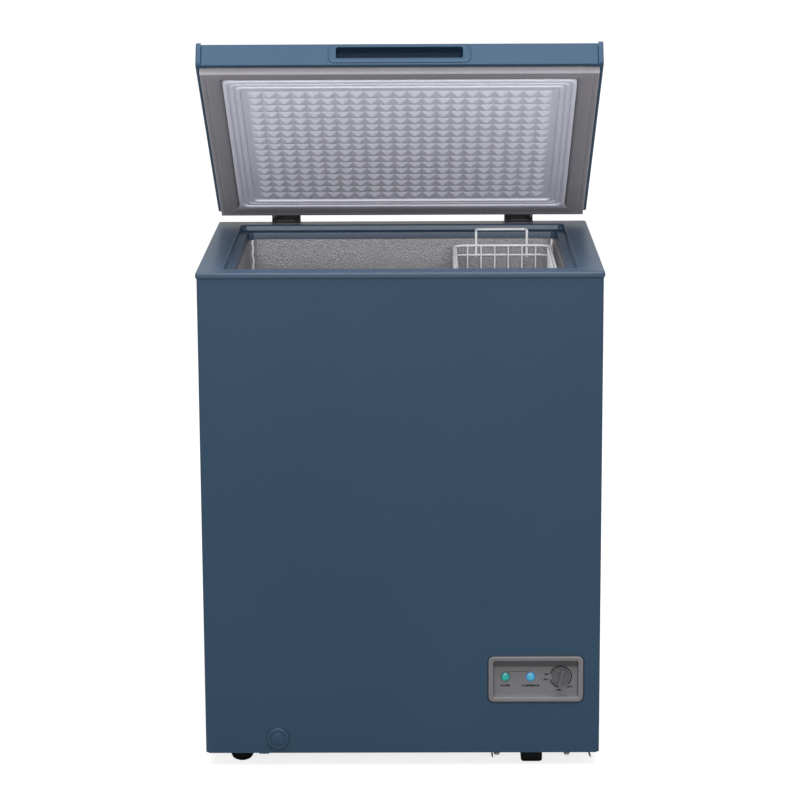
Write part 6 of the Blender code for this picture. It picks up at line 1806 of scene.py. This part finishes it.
@dataclass
class Fasteners(Assembly):
    """Screws, tabs and seams that hold the sheets together.

    Attributes:
        cheek: Distance from the hinge bracket's side to the inside of its cheek.
        tank_flange: Width of the flange that hides outside the tank's walls.
        tank_corner: Radius of the tank's upright corners.
        seam_wire: Radius of the folded seams in those corners.
    """

    cheek: float = 0.0023
    tank_flange: float = 0.013
    tank_corner: float = 0.020
    seam_wire: float = 0.0019

    def build(self) -> None:
        """Makes the screws and small tabs."""
        self.rear_screws()
        self.hinge_screws()
        self.hinge_shields()
        self.base_screws()
        self.tabs()
        self.tank_seams()

    def screws(self, name: str, spots: Sequence[Sequence[float]], radius: float) -> None:
        """Makes a set of equal screws at the back of the cabinet as one piece.

        Args:
            name: Name of the piece.
            spots: Middle of each head's seat.
            radius: Radius of a head.
        """
        form = Form()
        for spot in spots:
            form.screw(Vector(spot), Facing.BACK, radius, radius * 0.55)
        self.publish(form, name, Slot.ZINC, Body.CABINET, finishes=[Extra.BRIGHT])

    def rear_screws(self) -> None:
        """Adds the screws of the rear cover and the back sheet."""
        low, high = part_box("bay_rear_cover")
        inset = 0.0045
        spots = [(x, high.y, z) for x in (low.x + inset, high.x - inset)
                 for z in (low.z + 0.010, (low.z + high.z) / 2, high.z - inset)]
        spots.append(((low.x + high.x) / 2, high.y, high.z - inset))
        self.screws("rear_cover_screws", spots, 0.0036)
        low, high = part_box("back_panel")
        spots = [(side * (high.x - 0.010), high.y, z) for side in (-1, 1)
                 for z in (0.330, 0.480, 0.630, 0.745)]
        spots += [(low.x + 0.010, high.y, 0.050), (low.x + 0.010, high.y, 0.190), (-0.08, high.y, 0.035)]
        self.screws("back_sheet_screws", spots, 0.0033)

    def hinge_screws(self) -> None:
        """Adds the screws through the hinge brackets and the hinge leaves."""
        for side, _ in SIDES:
            low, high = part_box(f"hinge_{side}_bracket")
            centre = (low.x + high.x) / 2
            spots = [(centre + x, self.plate(), low.z + z) for x in (-0.011, 0.011) for z in (0.014, 0.042)]
            self.screws(f"hinge_{side}_screws", spots, 0.0040)

    @staticmethod
    def plate() -> float:
        """Depth of the outer face of the hinge brackets' plates."""
        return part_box("back_panel")[1].y + PLATE_GAP + PLATE

    def hinge_shields(self) -> None:
        """Adds the black folded channel behind each hinge pin, with its small outward ears."""
        top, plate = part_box("rim_collar")[1].z, self.plate()
        edge, ear_start = 0.0003, plate + 0.0012
        ears = ((0.0160, 0.0172, 0.0212, 0.006, 0.0070), (0.0175, 0.0216, 0.0024, 0.004, 0.0060))
        for side, _ in SIDES:
            low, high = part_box(f"hinge_{side}_bracket")
            centre = (low.x + high.x) / 2
            form = Form()
            form.block((low.x + self.cheek, plate + 0.0215, top - 0.022),
                       (high.x - self.cheek, plate + 0.0231, top + 0.0082), edge)
            for turn in (-1, 1):
                for near, far, reach, drop, rise in ears:
                    start, end = sorted((centre + turn * near, centre + turn * far))
                    form.block((start, ear_start, top - drop), (end, plate + reach, top + rise), edge)
            self.publish(form, f"hinge_{side}_channel", Slot.ENAMEL, Body.CABINET, finishes=[Extra.HINGE])

    def base_screws(self) -> None:
        """Adds the plate's screws, whose ends show under the front edge."""
        low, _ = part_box("compressor_base_plate")
        form = Form()
        for x in (low.x + 0.0206, low.x + 0.1326):
            centre = Vector((x, low.y + 0.006, low.z + 0.001))
            form.lathe(eased([(0.0, -0.0056, 0), (0.0034, -0.0056, 0.0006), (0.0046, -0.0046, 0.0006),
                              (0.0046, -0.0020, 0.0004), (0.0026, -0.0016, 0), (0.0026, 0.006, 0),
                              (0.0, 0.006, 0)]),
                       centre, Facing.UP, 24)
        self.publish(form, "base_plate_screws", Slot.ZINC, Body.CABINET,
                     finishes=[Extra.BRIGHT], crease=40)

        lugs = Form()
        near, far = low.y + 0.0012, low.y + 0.0172
        half = 0.0008
        for x, splay in ((low.x + 0.0126, 0.0014), (low.x + 0.1684, 0.0022)):
            lugs.skin([[Vector((x + slide + u, y, z)) for u, y in
                        ((-half, near), (half, near), (half, far), (-half, far))]
                       for z, slide in ((low.z + 0.0006, 0.0), (low.z - 0.0040, 0.0),
                                        (low.z - 0.0078, splay))])
        self.publish(lugs, "base_plate_lugs", Slot.ENAMEL, Body.CABINET)

    def tabs(self) -> None:
        """Adds the small folded tab under the front edge."""
        low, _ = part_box("outer_wrap")
        form = Form()
        left, right = -0.2285, -0.2125
        form.block((left, low.y + 0.0003, low.z - 0.0016), (right, low.y + 0.0100, low.z + 0.0008), 0.0004)
        self.publish(form, "front_edge_tab", Slot.CABINET_PAINT, Body.CABINET)

    def tank_seams(self) -> None:
        """Adds the folded seams down the tank's rear corners, slightly wavy from the crimping, in a
        near-white that paints the corners' bright highlight.
        """
        low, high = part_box("inner_liner")
        form = Form()
        steps = 120
        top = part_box("rim_collar")[0].z - 0.0006
        inset = self.tank_flange + self.tank_corner * (1 - math.sqrt(0.5)) + 0.0004
        for side, x in ((-1, low.x), (1, high.x)):
            base = low.z + 0.002 if side < 0 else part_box("machine_bay_panel")[1].z + 0.056
            path = []
            for step in range(steps + 1):
                wave = 0.0008 * math.sin(step * 1.7) + 0.0004 * math.sin(step * 0.61 + side)
                path.append(Vector((x - side * (inset - wave), high.y - inset - wave,
                                    lerp(base, top, step / steps))))
            form.tube(path, self.seam_wire, 8)
        # painted highlight: the seams take the near-white finish
        self.publish(form, "tank_corner_seams", Slot.ALUMINIUM, Body.CABINET,
                     finishes=[Extra.SEAM], crease=50)


# --- Studio --------------------------------------------------------------------------------------
@dataclass
class Studio:
    """Floor, soft lights and camera.

    Attributes:
        eye: Place of the camera.
        pitch: Tilt down, in radians.
        yaw: Turn to the right, in radians.
        roll: Lean of the picture, in radians.
        lens: Focal length in millimetres.
    """

    eye: Corner = (0.0359, -4.46855, 1.517)
    pitch: float = 0.2159
    yaw: float = -0.0088
    roll: float = -0.0052
    lens: float = 124.7

    def build(self, effects: Effects) -> None:
        """Sets the whole studio up.

        Args:
            effects: Shared effect groups.
        """
        self.floor(effects)
        self.lights()
        self.camera()

    def floor(self, effects: Effects) -> None:
        """Lays a plain pale floor.

        Args:
            effects: Shared effect groups.
        """
        form = Form()
        reach, thickness = 40.0, 0.05
        form.skin([plan_ring((-reach, -reach), (reach, reach), 1.0, z, 2) for z in (-thickness, 0.0)])
        finish = FloorFinish("pale_floor", (255, 255, 255), 0.9)
        form.object("studio_floor", [finish.material(effects)])

    @staticmethod
    def panel(name: str, place: Corner, aim: Corner, size: Pair, power: float) -> None:
        """Hangs one soft panel light.

        Args:
            name: Name of the light.
            place: Where it hangs.
            aim: Point that it looks at.
            size: Width and height.
            power: Power in watts.
        """
        data = bpy.data.lights.new(name, "AREA")
        data.shape = "RECTANGLE"
        data.size, data.size_y = size
        data.energy = power
        lamp = bpy.data.objects.new(name, data)
        lamp.location = place
        lamp.rotation_euler = (Vector(aim) - Vector(place)).to_track_quat("-Z", "Y").to_euler()
        lamp.visible_camera = False
        bpy.context.scene.collection.objects.link(lamp)

    def lights(self) -> None:
        """Hangs the soft lights and sets the surroundings."""
        world = bpy.data.worlds.new("studio")
        world.use_nodes = True
        graph = Graph(world.node_tree)
        around, seen_around = 0.12, 1.0
        seen = graph.add("LightPath").outputs["Is Camera Ray"]
        background = world.node_tree.nodes["Background"]
        graph.feed(background.inputs["Color"], (1.0, 1.0, 1.0))
        graph.feed(background.inputs["Strength"], graph.spread(seen, 0.0, 1.0, around, seen_around))
        bpy.context.scene.world = world
        sky = bpy.data.lights.new("ceiling", "SUN")
        sky.energy = 4.0
        sky.angle = math.radians(50)
        ceiling = bpy.data.objects.new("ceiling", sky)
        ceiling.rotation_euler = (math.radians(6), 0.0, 0.0)
        bpy.context.scene.collection.objects.link(ceiling)
        for row in (("overhead", (0.0, -1.15, 1.95), (0.0, -0.25, 0.8), (1.7, 0.45), 8.5),
                    ("front", (0.0, -4.4, 1.75), (0.0, 0.0, 0.85), (2.4, 1.0), 124.0),
                    ("rear", (0.0, 2.8, 1.35), (0.0, 0.2, 0.8), (3.2, 1.3), 8.5)):
            self.panel(*row)
        for name, side in SIDES:
            self.panel(name, (side * 2.4, 0.05, 1.45), (0.0, 0.0, 0.8), (1.6, 1.1), 28.0)
        bpy.context.scene.view_settings.view_transform = "Standard"

    def camera(self) -> None:
        """Sets the camera at the standing viewer's angle."""
        ahead = Vector((math.sin(self.yaw) * math.cos(self.pitch), math.cos(self.yaw) * math.cos(self.pitch),
                        -math.sin(self.pitch)))
        right = Vector((math.cos(self.yaw), -math.sin(self.yaw), 0.0))
        upward = right.cross(ahead)
        leaned_right = (right + upward * self.roll).normalized()
        leaned_up = leaned_right.cross(ahead).normalized()
        data = bpy.data.cameras.new("viewer")
        data.lens = self.lens
        data.sensor_width = 36.0
        data.clip_end = 100.0
        view = bpy.data.objects.new("viewer", data)
        turn = Matrix((leaned_right, leaned_up, -ahead)).transposed().to_4x4()
        view.matrix_world = Matrix.Translation(self.eye) @ turn
        bpy.context.scene.collection.objects.link(view)
        bpy.context.scene.camera = view


def main() -> None:
    """Builds the studio and every sub-assembly, in order."""
    logging.basicConfig(level=logging.INFO, format="%(message)s")
    effects = Effects()
    lamps = {}
    for slot, node in ((Slot.GREEN, "power_lamp"), (Slot.BLUE, "run_lamp")):
        low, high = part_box(node)
        lamps[slot] = middle(low, high, y=low.y)
    low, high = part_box("control_bezel")
    wardrobe = Wardrobe(effects, lamps, Vector((0.0, low.y + 0.003, high.z - ControlPanel.wall)))
    Studio().build(effects)
    for kind in (PackedNodes, Rim, Lid, ControlPanel, Drain, Basket, Feet, Fasteners):
        kind(wardrobe).build()


if __name__ == "__main__":
    main()
